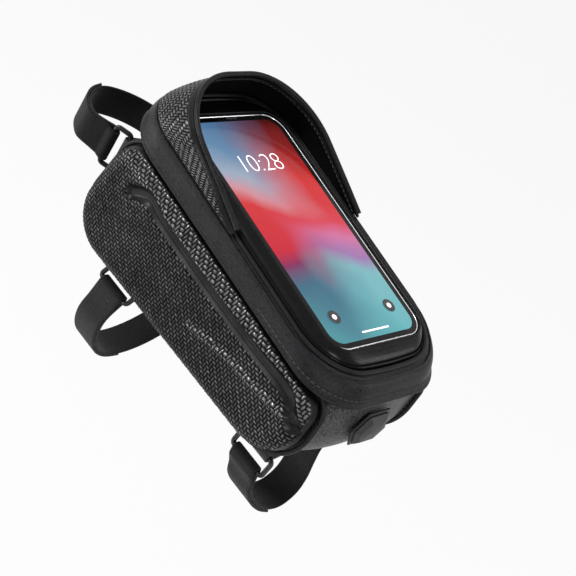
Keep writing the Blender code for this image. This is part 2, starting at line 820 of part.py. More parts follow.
def make_seam_piping(name, side):
    """The cord that covers the seam, from under the band at the front to under it at the rear."""
    line = seam_line()
    points = []
    for i in range(2, len(line) - 1):
        before, here, after = Vector(line[i - 1]), Vector(line[i]), Vector(line[i + 1])
        along = (after - before).normalized()
        out = Vector((-along.y, along.x)) * (PIPING_RADIUS + FIT)
        spot = here + out
        points.append((side * (seam_half(*here) - SHELL_WALL), spot.x, spot.y))
    tube(name, points, PIPING_RADIUS, TRIM)


def make_body():
    make_gusset()
    for name, side in (("left", -1), ("right", 1)):
        make_side_shell(name + "_side_shell", side)
        make_seam_piping(name + "_seam_piping", side)
    pad = plan_loop(PAD_HALF_WIDTH, PAD_FRONT, PAD_REAR, PAD_CORNER, PAD_CORNER, 0, 0)
    plate("base_pad", [pad], 0, PAD_THICKNESS, RUBBER)


# Zip


def zip_line(grow):
    """The zip's line from its front left end round the rear to its front right end, as (x, y)."""
    half = SEAM_HALF_TOP - SHELL_WALL - ZIP_INSET + grow
    rear = GUSSET_REAR - GUSSET_WALL - ZIP_REAR_INSET + grow
    left = plan_half(half, BAND_FRONT, rear, ZIP_REAR_CORNER, ZIP_REAR_CORNER, 0, ZIP_REAR_BOW)
    corner = left[-END_STEPS - CORNER_STEPS - 1 :]
    left = straight((-half, ZIP_FRONT_END), corner[0], SIDE_STEPS)[:-1] + corner
    return left + [(-x, y) for x, y in left[-2::-1]]


def mouth_row(grow, lift):
    return [(x, y, mouth_height(y) + lift) for x, y in zip_line(grow)]


COIL_LOW = FIT
COIL_UP = COIL_LOW + COIL_HEIGHT + COIL_PARTING


def make_coil(name, lift):
    """One row of the zip, a bar of rectangular section."""
    half = COIL_WIDTH / 2
    rings = [
        mouth_row(half, lift),
        mouth_row(half, lift + COIL_HEIGHT),
        mouth_row(-half, lift + COIL_HEIGHT),
        mouth_row(-half, lift),
    ]
    rows = [list(section) for section in zip(*rings)]
    return capped_loft(name, rows, PLASTIC)


def make_zip():
    half = TAPE_WALL / 2
    lower = [mouth_row(half, -FIT), mouth_row(half, -TAPE_BELOW_MOUTH)]
    shell_object("lower_zip_tape", lower, FABRIC, TAPE_WALL, flip=True)
    make_coil("lower_zip_coil", COIL_LOW)
    make_coil("upper_zip_coil", COIL_UP)
    foot = mouth_row(half, COIL_UP + COIL_HEIGHT + 2 * FIT)
    flange = POCKET_FLANGE_DEPTH + POCKET_WALL + 2 * FIT
    head = [(x, y, lid_height(y, flange)) for x, y in zip_line(half - ZIP_HEAD_INSET)]
    shell_object("upper_zip_tape", [head, foot], FABRIC, TAPE_WALL, flip=True)


# Place and direction of the slider's travel, on the straight right side
ZIP_HALF = SEAM_HALF_TOP - SHELL_WALL - ZIP_INSET
SLIDER_PLATE_INNER = ZIP_HALF + COIL_WIDTH / 2 + FIT


def box(made, low, high):
    """Adds a box to a mesh."""
    middle = [(a + b) / 2 for a, b in zip(low, high)]
    size = [b - a for a, b in zip(low, high)]
    matrix = Matrix.Translation(middle) @ Matrix.Diagonal((*size, 1.0))
    bmesh.ops.create_cube(made, size=1.0, matrix=matrix)


def union_of(name, boxes, finish):
    """Boxes joined into one solid."""
    objects = []
    for i, (low, high) in enumerate(boxes):
        made = bmesh.new()
        box(made, low, high)
        mesh = bpy.data.meshes.new(f"{name}_{i}")
        made.to_mesh(mesh)
        made.free()
        mesh.materials.append(finish)
        objects.append(bpy.data.objects.new(name if i == 0 else mesh.name, mesh))
    base = place(objects[0])
    for other in objects[1:]:
        other.hide_render = True
        other.display_type = "WIRE"
        CUTTERS.objects.link(other)
        join = base.modifiers.new("join", "BOOLEAN")
        join.operation = "UNION"
        join.object = other
    return base, objects[1:]


def make_slider():
    """The slider, its bridge thin enough to pass between the two rows, and its pull."""
    tilt = math.atan(MOUTH_SLOPE)
    low = COIL_LOW - FIT / 2
    high = COIL_UP + COIL_HEIGHT
    origin = (ZIP_HALF, SLIDER_REST, mouth_height(SLIDER_REST))
    holder = empty("zip_slider_frame", origin, tilt)
    half = SLIDER_LENGTH / 2
    reach = COIL_WIDTH / 2 + FIT
    part = (COIL_LOW + COIL_HEIGHT + COIL_UP) / 2
    lug = reach + SLIDER_PLATE
    pin = lug + PULL_WALL + FIT
    front = half - SLIDER_LUG_INSET
    rear = front - SLIDER_LUG_LENGTH
    boxes = [
        ((reach, -half, low), (lug, half, high)),
        ((-lug, -half, low), (-reach, half, high)),
        ((-lug, -half, part - SLIDER_BRIDGE / 2), (lug, half, part + SLIDER_BRIDGE / 2)),
        ((lug - FIT, rear, low), (pin, front, high)),
    ]
    body, helpers = union_of("zip_slider", boxes, DARK_METAL)
    for piece in (body, *helpers):
        piece.parent = holder

    pull_holder = empty("zip_pull_frame", (0, 0, 0))
    pull_holder.parent = holder
    pull_holder.location = (lug + FIT + PULL_WALL / 2, rear - FIT - PULL_PIN_RADIUS, 0)
    middle = (low + high) / 2
    outline = pull_outline()
    slab = capped_loft("zip_pull", [[(t, y, z + middle) for y, z in outline] for t in PULL_SIDES], RUBBER)
    slab.parent = pull_holder


PULL_SIDES = (-PULL_WALL / 2, PULL_WALL / 2)


def pull_outline():
    """The pull seen from the side, its hinge at the front end."""
    half = PULL_HEIGHT / 2
    tail = arc((-PULL_LENGTH + half, 0), half, 90, 270, 4)
    nose = arc((-PULL_PIN_RADIUS, 0), half, -60, 60, 3)
    return [(min(y, PULL_PIN_RADIUS), z) for y, z in nose] + tail


# Cable port


def make_port():
    face = -GUSSET_REAR - FIT
    sizes = ((GROMMET_HALF_WIDTH, GROMMET_HALF_HEIGHT), (PORT_HALF_WIDTH, PORT_HALF_HEIGHT))
    spots = [[(x, z + PORT_HEIGHT) for x, z in hexagon(*size)] for size in sizes]
    grommet = plate("port_grommet", spots, -GROMMET_WALL / 2, GROMMET_WALL / 2, RUBBER)
    grommet.rotation_euler.x = math.radians(90)
    grommet.location = (0, face - GROMMET_WALL / 2, 0)

    back = face - GROMMET_WALL - FIT
    hinge_height = PORT_HEIGHT + CAP_HALF_HEIGHT
    holder = empty("port_cap_hinge", (0, back, hinge_height))
    steps = [
        (PORT_HALF_WIDTH - PLUG_CLEARANCE, PORT_HALF_HEIGHT - PLUG_CLEARANCE, PLUG_DEPTH + FIT),
        (PORT_HALF_WIDTH - PLUG_CLEARANCE, PORT_HALF_HEIGHT - PLUG_CLEARANCE, 0),
        (CAP_HALF_WIDTH, CAP_HALF_HEIGHT, 0),
        (CAP_HALF_WIDTH, CAP_HALF_HEIGHT, -CAP_WALL),
        (CAP_HALF_WIDTH - CAP_BEVEL, CAP_HALF_HEIGHT - CAP_BEVEL, -CAP_WALL - CAP_RISE),
        (CAP_HALF_WIDTH * CAP_CREASE_SHARE, CAP_CREASE_HALF, -CAP_WALL - CAP_RISE - CAP_CREASE_RISE),
    ]
    rings = [[(x, depth, z - CAP_HALF_HEIGHT) for x, z in hexagon(w, h)] for w, h, depth in steps]
    cap = capped_loft("port_cap", rings, RUBBER)
    cap.parent = holder


# Straps


def offset_path(path, distance):
    """A plane path moved sideways, to its left."""
    moved = []
    for i, point in enumerate(path):
        before = Vector(path[max(i - 1, 0)])
        after = Vector(path[min(i + 1, len(path) - 1)])
        along = (after - before).normalized()
        moved.append((point[0] - along.y * distance, point[1] + along.x * distance))
    return moved


def strap_solid(name, path, width, wall, to_row, finish):
    """A flat band along a plane path: u along the bag, v away from it."""
    rows = [[to_row(u, v, -width / 2), to_row(u, v, width / 2)] for u, v in path]
    obj = shell_object(name, rows, finish, wall)
    obj.modifiers["wall"].offset = 0.0
    return obj


def ring_solid(name, upper, lower, to_row):
    """A rectangular ring, its two long bars at upper and lower."""
    half = RING_LENGTH / 2
    mid = between(upper, lower, 0.5)
    corners = [(upper, -half), (mid, -half), (lower, -half), (lower, 0)]
    corners += [(lower, half), (mid, half), (upper, half), (upper, 0)]
    points = [tuple(to_row(u, v, w)) for (u, v), w in corners]
    return tube(name, points, RING_BAR_RADIUS, PLASTIC, cyclic=True)


def make_strap(prefix, loop, upper_bar, lower_bar, tab_end, tail, to_row):
    """One cinch strap: sewn on the right, through the ring on the left, folded back on itself."""
    strap_radius = RING_BAR_RADIUS + FIT + STRAP_WALL / 2
    tab_radius = RING_BAR_RADIUS + FIT + TAB_WALL / 2
    inner = smooth_path([*loop, (lower_bar[0] + strap_radius, lower_bar[1] + STRAP_LEAD)])
    turn = arc(lower_bar, strap_radius, 0, -180, BAR_STEPS)
    outer = offset_path(inner, -(STRAP_WALL + STRAP_PLY_GAP))[::-1]
    start = (lower_bar[0] - strap_radius, lower_bar[1] + STRAP_LEAD)
    folded = smooth_path([start, *outer[2 : 2 + tail : 2]], 2)
    strap_solid(prefix + "_strap", inner + turn + folded, STRAP_WIDTH, STRAP_WALL, to_row, STRAP)

    ring_solid(prefix + "_strap_ring", upper_bar, lower_bar, to_row)

    top = upper_bar[1] - tab_radius
    under = upper_bar[1] + tab_radius
    bend = arc(upper_bar, tab_radius, 270, 90, BAR_STEPS)
    fold = (mix(upper_bar[0], tab_end, TAB_FOLD_SHARE), mix(top, under, TAB_FOLD_DROP))
    path = [(tab_end + TAB_SEW_LENGTH, top)] + bend + [fold, (tab_end, top + TAB_WALL + TAB_PLY_GAP)]
    strap_solid(prefix + "_ring_tab", path, STRAP_WIDTH, TAB_WALL, to_row, STRAP)


def under_base(y, lean):
    """Maps a strap's plane to one across the bag below its base, leaning along Y."""

    def to_row(u, v, w):
        return Vector((u, y + w + lean * v, PAD_THICKNESS - v))

    return to_row


def before_front(height, lean):
    """Maps a strap's plane to a level one in front of the front wall, leaning along Z."""

    def to_row(u, v, w):
        return Vector((u, GUSSET_FRONT + FIT + v, height + w + lean * v))

    return to_row


SEWN = STRAP_WALL / 2
MIDDLE_LOOP = [
    (0.016, SEWN), (0.031, SEWN), (0.040, 0.0060), (0.0425, 0.0180), (0.040, 0.0340), (0.034, 0.0500),
    (0.0215, 0.0640), (0.005, 0.0715), (-0.011, 0.0710), (-0.0245, 0.0625), (-0.035, 0.0480),
    (-0.0395, 0.0310),
]
REAR_LOOP = [
    (0.034, SEWN), (0.022, 0.0020), (0.0145, 0.0080), (0.0145, 0.0190), (0.0160, 0.0320), (0.0140, 0.0430),
    (0.006, 0.0500), (-0.005, 0.0500), (-0.0165, 0.0445), (-0.0275, 0.0355), (-0.0345, 0.0255),
]
FRONT_LOOP = [
    (0.040, SEWN), (0.031, 0.0016), (0.023, 0.0095), (0.0135, 0.0225), (0.003, 0.0335), (-0.009, 0.0410),
    (-0.0205, 0.0440), (-0.031, 0.0400), (-0.0375, 0.0320), (-0.0385, 0.0240),
]


def make_straps():
    upper = (-RING_BAR_FROM_MIDDLE, RING_BAR_RADIUS + FIT + TAB_WALL)
    lower = (upper[0] - RING_LEAN, upper[1] + RING_REACH)
    middle = under_base(MIDDLE_STRAP_Y, MIDDLE_STRAP_LEAN)
    make_strap("middle", MIDDLE_LOOP, upper, lower, TAB_END, 14, middle)
    rear = under_base(REAR_STRAP_Y, REAR_STRAP_LEAN)
    make_strap("rear", REAR_LOOP, upper, lower, TAB_END, 12, rear)
    front_upper = (-FRONT_RING_FROM_MIDDLE, upper[1])
    front_lower = (front_upper[0] - FRONT_RING_LEAN, front_upper[1] + RING_REACH - FRONT_RING_SHORTER)
    front = before_front(FRONT_STRAP_HEIGHT, FRONT_STRAP_LEAN)
    make_strap("front", FRONT_LOOP, front_upper, front_lower, FRONT_TAB_END, 12, front)


# Cloth hinge between the body's front and the band


def make_hinge_tape():
    """A strip on the gusset's top edge that reaches the inside of the band."""
    seam = seam_line()[0]
    middle = middle_line()[0]
    inset = GUSSET_WALL / 2
    foot, head = [], []
    for i in range(-HINGE_TAPE_STEPS, HINGE_TAPE_STEPS + 1):
        x, y, z = gusset_point(seam, middle, HINGE_TAPE_SHARE * i / HINGE_TAPE_STEPS)
        foot.append((x, y - inset, z + FIT))
        head.append((x, y - inset + HINGE_TAPE_LEAN, z + MOUTH_BELOW_BAND - FIT))
    shell_object("lid_hinge_tape", [foot, head], FABRIC, TAPE_WALL)


make_body()
make_zip()
make_hinge_tape()
LID_FRAME = empty("lid_frame", (0, 0, GLASS_HEIGHT), LID_TILT)
make_lid(LID_FRAME)
make_slider()
make_port()
make_straps()
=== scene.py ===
"""Looks of the bicycle frame bag: moulded covers, webbing, zip, visor and the phone in its window.

Metres, in the bag's frame: +X to the rider's right, +Y towards the handlebar, +Z up. Pieces of the
lid are built in the lid's own frame, whose origin is the middle of the phone's glass.
"""

import math

import bmesh
import bpy
import numpy as np
from mathutils import Matrix, Vector


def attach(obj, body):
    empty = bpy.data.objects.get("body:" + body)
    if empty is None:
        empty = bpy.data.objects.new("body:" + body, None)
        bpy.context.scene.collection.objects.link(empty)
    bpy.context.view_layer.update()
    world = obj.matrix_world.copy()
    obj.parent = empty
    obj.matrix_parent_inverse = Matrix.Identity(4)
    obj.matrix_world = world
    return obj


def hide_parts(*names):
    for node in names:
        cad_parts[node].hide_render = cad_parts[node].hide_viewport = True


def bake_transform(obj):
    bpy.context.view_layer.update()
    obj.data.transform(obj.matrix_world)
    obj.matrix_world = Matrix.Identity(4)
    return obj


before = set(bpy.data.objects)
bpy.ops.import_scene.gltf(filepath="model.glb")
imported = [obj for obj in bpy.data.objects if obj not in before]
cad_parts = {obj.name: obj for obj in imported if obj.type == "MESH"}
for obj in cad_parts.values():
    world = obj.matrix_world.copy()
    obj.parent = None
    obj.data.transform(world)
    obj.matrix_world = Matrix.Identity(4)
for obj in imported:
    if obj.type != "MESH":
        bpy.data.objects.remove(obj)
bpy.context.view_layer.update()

# Gap between pieces that touch
FIT = 0.0003

# The names in SHAPE hold an outline seen from above: its half width, its reach to the front and to
# the rear, the radii of its front and rear corners, and how far its front and rear ends bow

# Phone
PHONE_HALF = 0.0387
PHONE_END = 0.07875
PHONE_CORNER = 0.0125
PHONE_THICKNESS = 0.0077
BEZEL = 0.0036
SCREEN_CORNER = 0.0085
GLASS_THICKNESS = 0.0008
FILM_WALL = 0.0005
FILM_MARGIN = 0.0007
SCREEN_SHARPNESS = 9000
# How sharply the film's painted reflection starts at its slanted edge
REFLECTION_EDGE_SHARPNESS = 1400
BUTTON_SPOT = (0.0235, -0.0590)

# Lid, in its own frame
LID_TILT = math.radians(8.0)
GLASS_HEIGHT = 0.0914
LID = Matrix.Translation((0, 0, GLASS_HEIGHT)) @ Matrix.Rotation(LID_TILT, 4, "X")
PIPING_RADIUS = 0.0016
RIM_HALF = 0.0494
RIM_FRONT = 0.09835
RIM_REAR = 0.09295
RIM_DROP = 0.0050
RIM_SHAPE = (RIM_HALF, RIM_FRONT, RIM_REAR, 0.0250, 0.0290, 0.0050, 0.0046)
BAND_WALL = 0.0018
BAND_TOP = PIPING_RADIUS + FIT + BAND_WALL
BAND_SHAPE = (0.0540, 0.10695, 0.10585, 0.0340, 0.0300, 0.0060, 0.0010)
BAND_DROP_FRONT = 0.0219
BAND_DROP_REAR = 0.0169
MOUTH_BELOW_BAND = 0.0040
STITCHED_PLACE = 0.72
STITCHED_FROM = -0.035
BORDER_WALL = 0.0009
WELT_WALL = 0.0004

# The band's relief, as (height, place from its top edge to its lower one, half width)
BAND_ROLLS = ((0.00055, 0.05, 0.06), (0.0010, 0.46, 0.40))
BAND_CREASES = ((-0.00035, 0.72, 0.05), (-0.0002, 0.80, 0.04))
BAND_HEM = ((0.00045, 0.95, 0.08),)

# Visor
VISOR_WALL = 0.0013
VISOR_TIP = 0.0023
VISOR_TIP_HEIGHT = 0.0018
VISOR_LOW = -0.0036
VISOR_LIP_HEIGHT = 0.0199
VISOR_LIP_SHAPE = (RIM_HALF + BAND_TOP - 0.0012, 0.0912, 0, 0.0435, 0.0435, 0, 0)
VISOR_SWELL = 0.0012
VISOR_HEM = 0.0034
VISOR_HEM_RELIEF = 0.0005
LINING_WALL = 0.0005
BINDING_RADIUS = 0.0015

# Body
SHELL_WALL = 0.0025
GUSSET_WALL = 0.0022
SEAM_HALF_TOP = 0.0455
SEAM_TAPER = 0.02
SEAM_FRONT_TOP = 0.0935
SEAM_FRONT_BASE = 0.1080
SEAM_REAR = 0.0940
SEAM_BASE_HEIGHT = 0.0035
SEAM_RADII = (0.0180, 0.0260, 0.0330, 0.0110)
GUSSET_FRONT = 0.1065
GUSSET_REAR = 0.0995
GUSSET_RADII = (0.0260, 0.0330)
GUSSET_BOW_POWER = 2.4
PAD_THICKNESS = 0.0015
PAD_SHAPE = (0.0290, 0.0300, 0.0520, 0.0060, 0.0060, 0, 0)
SHELL_SWELL = 0.0085
SHELL_EDGE = 0.0110
CHANNEL_HALF_WIDTH = 0.0035
GROOVE_HALF_WIDTH = 1.6 * CHANNEL_HALF_WIDTH
GROOVE_DEPTH = 0.0028
GROOVE_LIP_HEIGHT = 0.0014
RIDGE_HEIGHT = 0.0023

# Texture of the moulded covers: bars twice as long as wide, laid in a herringbone
BAR_WIDTH = 0.0018
BAR_RELIEF = 0.00042
PANEL_STEP = 0.00045
SMOOTH_WEAVE = 0.66
VISOR_SMOOTH_WEAVE = 0.6
# Painted highlight on the visor: the gleam it adds lightens the visor's colour
VISOR_GLEAM = 2.5

# Zip
ZIP_HALF = SEAM_HALF_TOP - SHELL_WALL - 0.0007
COIL_HEIGHT = 0.0012
COIL_LOW = FIT
COIL_UP = COIL_LOW + COIL_HEIGHT + 0.0009
COIL_HALF_WIDTH = 0.0008
COIL_WIRE = 0.00032
TOOTH_PITCH = 0.0016
TAPE_WALL = 0.0008
TAPE_DEPTH = 0.0070
ZIP_FRONT = 0.0660
ZIP_CORNER = 0.0150
ZIP_REAR_BOW = 0.0095
SLIDER_REST = 0.0560
SLIDER_HALF = 0.0050
PULL_REACH = 0.0225
PULL_HALF_WIDTH = 0.0015
PULL_HALF_WALL = 0.0006
PULL_RIBS = 6
RIB_PITCH = 0.0012

# Port
PORT_HEIGHT = 0.03805
HEXAGON_SHOULDER = 0.58
PORT_HOLE = (0.0090, 0.0045)
GROMMET_SIZE = (0.0150, 0.0122)
GROMMET_WALL = 0.0012
CAP_PLUG = (0.0075, 0.0030)
CAP_SIZE = (0.0132, 0.0104)

# Straps
STRAP_WIDTH = 0.0200
STRAP_WALL = 0.0016
TAB_WALL = 0.0012
RING_BAR_RADIUS = 0.0015
RING_LENGTH = 0.0260
RING_REACH = 0.0090
RING_CORNER = 0.0022
STRAP_PLY_GAP = 0.0005
STRAP_RISE = 0.0035

# How finely curves are divided
END_STEPS = 10
CORNER_STEPS = 22
SIDE_STEPS = 60
ROUND_STEPS = 24
FRONT_STEPS = 30
BASE_STEPS = 60
REAR_STEPS = 16
GUSSET_COLUMNS = 61
VISOR_GRID = (66, 700)
LINING_GRID = (16, 260)
HINGE_STRIPS = 13


# Materials


class Shader:
    """A material whose nodes are added by short calls."""

    def __init__(self, name, colour, roughness, **settings):
        self.material = bpy.data.materials.new(name)
        self.material.use_nodes = True
        self.tree = self.material.node_tree
        self.surface = self.tree.nodes["Principled BSDF"]
        self.surface.inputs["Base Color"].default_value = (*colour, 1.0)
        self.surface.inputs["Roughness"].default_value = roughness
        for name, value in settings.items():
            self.surface.inputs[name.replace("_", " ")].default_value = value
        self.place = self.add("ShaderNodeTexCoord").outputs["Object"]

    def add(self, kind, **values):
        node = self.tree.nodes.new(kind)
        for name, value in values.items():
            setattr(node, name, value)
        return node

    def put(self, socket, value):
        if isinstance(value, bpy.types.NodeSocket):
            self.tree.links.new(value, socket)
        else:
            socket.default_value = value

    def math(self, operation, *values, clamp=False):
        node = self.add("ShaderNodeMath", operation=operation, use_clamp=clamp)
        for socket, value in zip(node.inputs, values):
            self.put(socket, value)
        return node.outputs[0]

    def noise(self, scale, detail=2.0, stretch=None, roughness=0.5):
        node = self.add("ShaderNodeTexNoise")
        node.inputs["Scale"].default_value = scale
        node.inputs["Detail"].default_value = detail
        node.inputs["Roughness"].default_value = roughness
        self.put(node.inputs["Vector"], self.stretched(stretch) if stretch else self.place)
        return node.outputs["Fac"]

    def stretched(self, scale):
        node = self.add("ShaderNodeMapping")
        node.inputs["Scale"].default_value = scale
        self.put(node.inputs["Vector"], self.place)
        return node.outputs["Vector"]

    def field(self, name):
        """A named field of the mesh."""
        return self.add("ShaderNodeAttribute", attribute_name=name).outputs["Fac"]

    def creases(self, scale):
        """The distance to the nearest edge between the cells of a grain."""
        node = self.add("ShaderNodeTexVoronoi", feature="DISTANCE_TO_EDGE")
        node.inputs["Scale"].default_value = scale
        self.put(node.inputs["Vector"], self.place)
        return node.outputs["Distance"]

    def axes(self):
        node = self.add("ShaderNodeSeparateXYZ")
        self.put(node.inputs[0], self.place)
        return node.outputs

    def ramp(self, value, *stops):
        """Colours at places along value, from (place, colour) pairs."""
        node = self.add("ShaderNodeValToRGB")
        self.put(node.inputs["Fac"], value)
        steps = node.color_ramp.elements
        while len(steps) < len(stops):
            steps.new(0.5)
        for step, (place, colour) in zip(steps, stops):
            step.position = place
            step.color = (*colour, 1.0)
        return node.outputs["Color"]

    def blend(self, share, first, second):
        node = self.add("ShaderNodeMix", data_type="RGBA")
        for socket, value in zip((node.inputs[0], node.inputs[6], node.inputs[7]), (share, first, second)):
            self.put(socket, (*value, 1.0) if isinstance(value, tuple) else value)
        return node.outputs[2]

    def between(self, value, low, high):
        """value from 0 to 1, mapped to low to high."""
        return self.math("MULTIPLY_ADD", value, high - low, low)

    def bump(self, height, depth, after=None):
        node = self.add("ShaderNodeBump")
        node.inputs["Distance"].default_value = depth
        node.inputs["Strength"].default_value = 1.0
        self.put(node.inputs["Height"], height)
        if after:
            self.put(node.inputs["Normal"], after)
        self.put(self.surface.inputs["Normal"], node.outputs[0])
        return node.outputs[0]

    def colour(self, value):
        self.put(self.surface.inputs["Base Color"], value)

    def rough(self, value):
        self.put(self.surface.inputs["Roughness"], value)

    def specular(self, value):
        self.put(self.surface.inputs["Specular IOR Level"], value)


def grey(value):
    """A near-neutral dark tone with a slight cold cast."""
    return (value, value * 1.02, value * 1.08)


def moulded_cover():
    """Pressed polyurethane: its bars are real relief, their tops polished and their gaps dull. Its colour
    also holds painted light: lighter on the bar crests as a painted highlight, near black in the gaps as
    painted shade, and lighter still where the gleam field and a soft cloud lay on more painted highlight.
    """
    shader = Shader("pressed_cover", grey(0.02), 0.4)
    weave, gleam = shader.field("weave"), shader.field("gleam")
    highlight_cloud = shader.noise(38, 3)
    lift = shader.math("MULTIPLY_ADD", highlight_cloud, 0.8, shader.math("MULTIPLY", gleam, 0.22))
    # Painted highlight on the bar crests and painted shade in the gaps: the colour rises with the bars'
    # height, with the gleam field and with the soft cloud.
    tone = shader.math("MULTIPLY", shader.math("POWER", weave, 2.2), shader.math("ADD", lift, 0.20))
    shader.colour(shader.ramp(tone, (0.10, grey(0.0012)), (0.50, grey(0.008)), (1.0, grey(0.080))))
    shader.specular(shader.math("MULTIPLY_ADD", tone, 0.60, 0.01, clamp=True))
    shader.rough(shader.math("MULTIPLY_ADD", tone, -0.18, 0.42))
    shader.bump(shader.noise(2600, 2), 0.00003)
    return shader.material


def fine_cover(name, tone, roughness, grain=0.00006, size=1700, shine=0.12):
    """Polyurethane with a fine leather grain. Its colour is darker in the grain's creases, a painted
    shade, lighter on the cell tops, and varied by a random cloud.
    """
    shader = Shader(name, grey(tone), roughness)
    creases = shader.math("MINIMUM", shader.creases(size), 0.25)
    cloud = shader.noise(45, 4)
    tops = shader.math("MULTIPLY", creases, 4.0)
    crease_shade_and_cloud = shader.math("MULTIPLY_ADD", cloud, 0.5, shader.math("MULTIPLY", tops, 0.5))
    # Painted shade: the colour darkens in the grain's creases, and the cloud varies the tone at random.
    shader.colour(shader.ramp(crease_shade_and_cloud, (0.2, grey(tone * 0.4)), (0.75, grey(tone * 1.5))))
    shader.specular(shader.math("MULTIPLY_ADD", tops, 1.3 * shine, 0.01))
    shader.rough(shader.between(cloud, roughness - 0.05, roughness + 0.06))
    shader.bump(shader.noise(3600, 2), grain * 0.3, shader.bump(creases, grain))
    return shader.material


def woven(name, tone, pitch=0.0007, depth=0.00012):
    """Narrow woven tape."""
    shader = Shader(name, grey(tone), 0.85)
    shader.surface.inputs["Sheen Weight"].default_value = 0.3
    x, y, z = shader.axes()[:3]
    along = shader.math("SINE", shader.math("MULTIPLY", shader.math("ADD", x, y), math.tau / pitch))
    across = shader.math("SINE", shader.math("MULTIPLY", shader.math("SUBTRACT", z, x), math.tau / pitch))
    threads = shader.math("MULTIPLY_ADD", shader.math("MULTIPLY", along, across), 0.5, 0.5)
    shader.colour(shader.ramp(threads, (0.0, grey(tone * 0.5)), (1.0, grey(tone * 1.5))))
    shader.bump(threads, depth)
    return shader.material


def felt():
    """Ribbed hook-and-loop webbing: soft loops in rows along the strap, plain on its inner side."""
    shader = Shader("felt_webbing", grey(0.03), 0.92)
    shader.specular(0.15)
    shader.surface.inputs["Sheen Weight"].default_value = 0.10
    shader.surface.inputs["Sheen Roughness"].default_value = 0.5
    ribs = shader.math("SINE", shader.math("MULTIPLY", shader.field("across"), math.tau / 0.0021))
    fuzz = shader.noise(1900, 5, roughness=0.7)
    patch = shader.noise(300, 3)
    loops = shader.math("MULTIPLY_ADD", patch, 0.35, shader.math("MULTIPLY", fuzz, 0.65))
    outer = shader.ramp(loops, (0.30, grey(0.012)), (0.52, grey(0.028)), (0.75, grey(0.062)))
    inner = shader.ramp(fuzz, (0.3, grey(0.003)), (0.7, grey(0.012)))
    shader.colour(shader.blend(shader.field("side"), inner, outer))
    height = shader.math("MULTIPLY_ADD", ribs, 0.18, shader.math("MULTIPLY", fuzz, 1.2))
    shader.bump(height, 0.00022)
    return shader.material


def hard(name, tone, roughness, grain=0.00002):
    """Moulded plastic or rubber with a faint texture."""
    shader = Shader(name, grey(tone), roughness)
    shader.specular(0.3)
    cloud = shader.noise(120, 3)
    shader.rough(shader.between(cloud, roughness - 0.06, roughness + 0.08))
    shader.colour(shader.ramp(cloud, (0.3, grey(tone * 0.9)), (0.7, grey(tone * 1.12))))
    shader.bump(shader.noise(2400, 2), grain)
    return shader.material


def metal(name, tone, roughness):
    shader = Shader(name, (tone, tone, tone * 1.02), roughness, Metallic=1.0)
    scratches = shader.noise(700, 3, stretch=(1, 0.08, 1))
    shader.rough(shader.between(scratches, roughness * 0.8, roughness * 1.4))
    shader.bump(scratches, 0.000006)
    return shader.material


def film():
    """Clear film, with the broad soft reflection that crosses the window painted in: the film turns whiter
    to the right of a slanted line.
    """
    shader = Shader("window_film", (1, 1, 1), 0.06)
    shader.specular(0.12)
    x, y, _ = shader.axes()[:3]
    line = shader.math("MULTIPLY_ADD", y, 0.23, shader.math("ADD", x, -0.004))
    right = shader.math("MULTIPLY", line, REFLECTION_EDGE_SHARPNESS, clamp=True)
    wave = shader.noise(14, 1)
    # Painted reflection: more opaque white to the right of the slanted line, standing in for a lamp's
    # reflection.
    painted_reflection = shader.math("MULTIPLY", right, shader.between(wave, 0.001, 0.007))
    shader.put(shader.surface.inputs["Alpha"], shader.math("ADD", painted_reflection, 0.001))
    shader.bump(wave, 0.0004)
    return shader.material


# The screen's soft colours down its left and its right side, as (place, colour)
LEFT_FIELDS = (
    (0.00, (0.08, 0.19, 0.38)), (0.16, (0.14, 0.31, 0.53)), (0.29, (0.44, 0.53, 0.68)),
    (0.38, (0.86, 0.36, 0.42)), (0.46, (0.88, 0.03, 0.04)), (0.63, (0.80, 0.01, 0.04)),
    (0.71, (0.30, 0.02, 0.14)), (0.79, (0.06, 0.19, 0.30)), (1.00, (0.10, 0.40, 0.46)),
)
RIGHT_FIELDS = (
    (0.00, (0.08, 0.00, 0.00)), (0.12, (0.32, 0.00, 0.00)), (0.26, (0.85, 0.01, 0.01)),
    (0.44, (0.92, 0.05, 0.09)), (0.54, (0.86, 0.22, 0.48)), (0.64, (0.46, 0.24, 0.58)),
    (0.72, (0.26, 0.64, 0.70)), (1.00, (0.15, 0.60, 0.65)),
)


def display():
    """A lit screen: soft colour fields, a black margin and a glass surface."""
    shader = Shader("phone_display", (0.0, 0.0, 0.0), 0.08)
    shader.specular(0.12)
    x, y, _ = shader.axes()[:3]
    drift = shader.noise(16, 2)
    run = shader.math("MULTIPLY_ADD", y, -1 / (2 * PHONE_END), 0.5)
    run = shader.math("MULTIPLY_ADD", x, -1.6, run)
    run = shader.math("MULTIPLY_ADD", shader.math("SUBTRACT", drift, 0.5), 0.34, run)
    left, right = (shader.ramp(run, *fields) for fields in (LEFT_FIELDS, RIGHT_FIELDS))
    swirl = shader.noise(22, 2)
    share = shader.math("MULTIPLY_ADD", x, 24.0, shader.math("MULTIPLY_ADD", swirl, 0.9, 0.02), clamp=True)
    picture = shader.blend(share, left, right)
    squares = []
    for place, reach in ((x, PHONE_HALF), (y, PHONE_END)):
        past = shader.math("SUBTRACT", shader.math("ABSOLUTE", place), reach - BEZEL - SCREEN_CORNER)
        squares.append(shader.math("POWER", shader.math("MAXIMUM", past, 0.0), 2.0))
    past = shader.math("SQRT", shader.math("ADD", *squares))
    inside = shader.math("SUBTRACT", SCREEN_CORNER, past)
    inside = shader.math("MULTIPLY", inside, SCREEN_SHARPNESS, clamp=True)
    lit = shader.blend(inside, (0.0, 0.0, 0.0), picture)
    shader.put(shader.surface.inputs["Emission Color"], lit)
    shader.surface.inputs["Emission Strength"].default_value = 0.75
    shader.colour(shader.blend(inside, (0.002, 0.002, 0.002), (0.01, 0.01, 0.01)))
    return shader.material


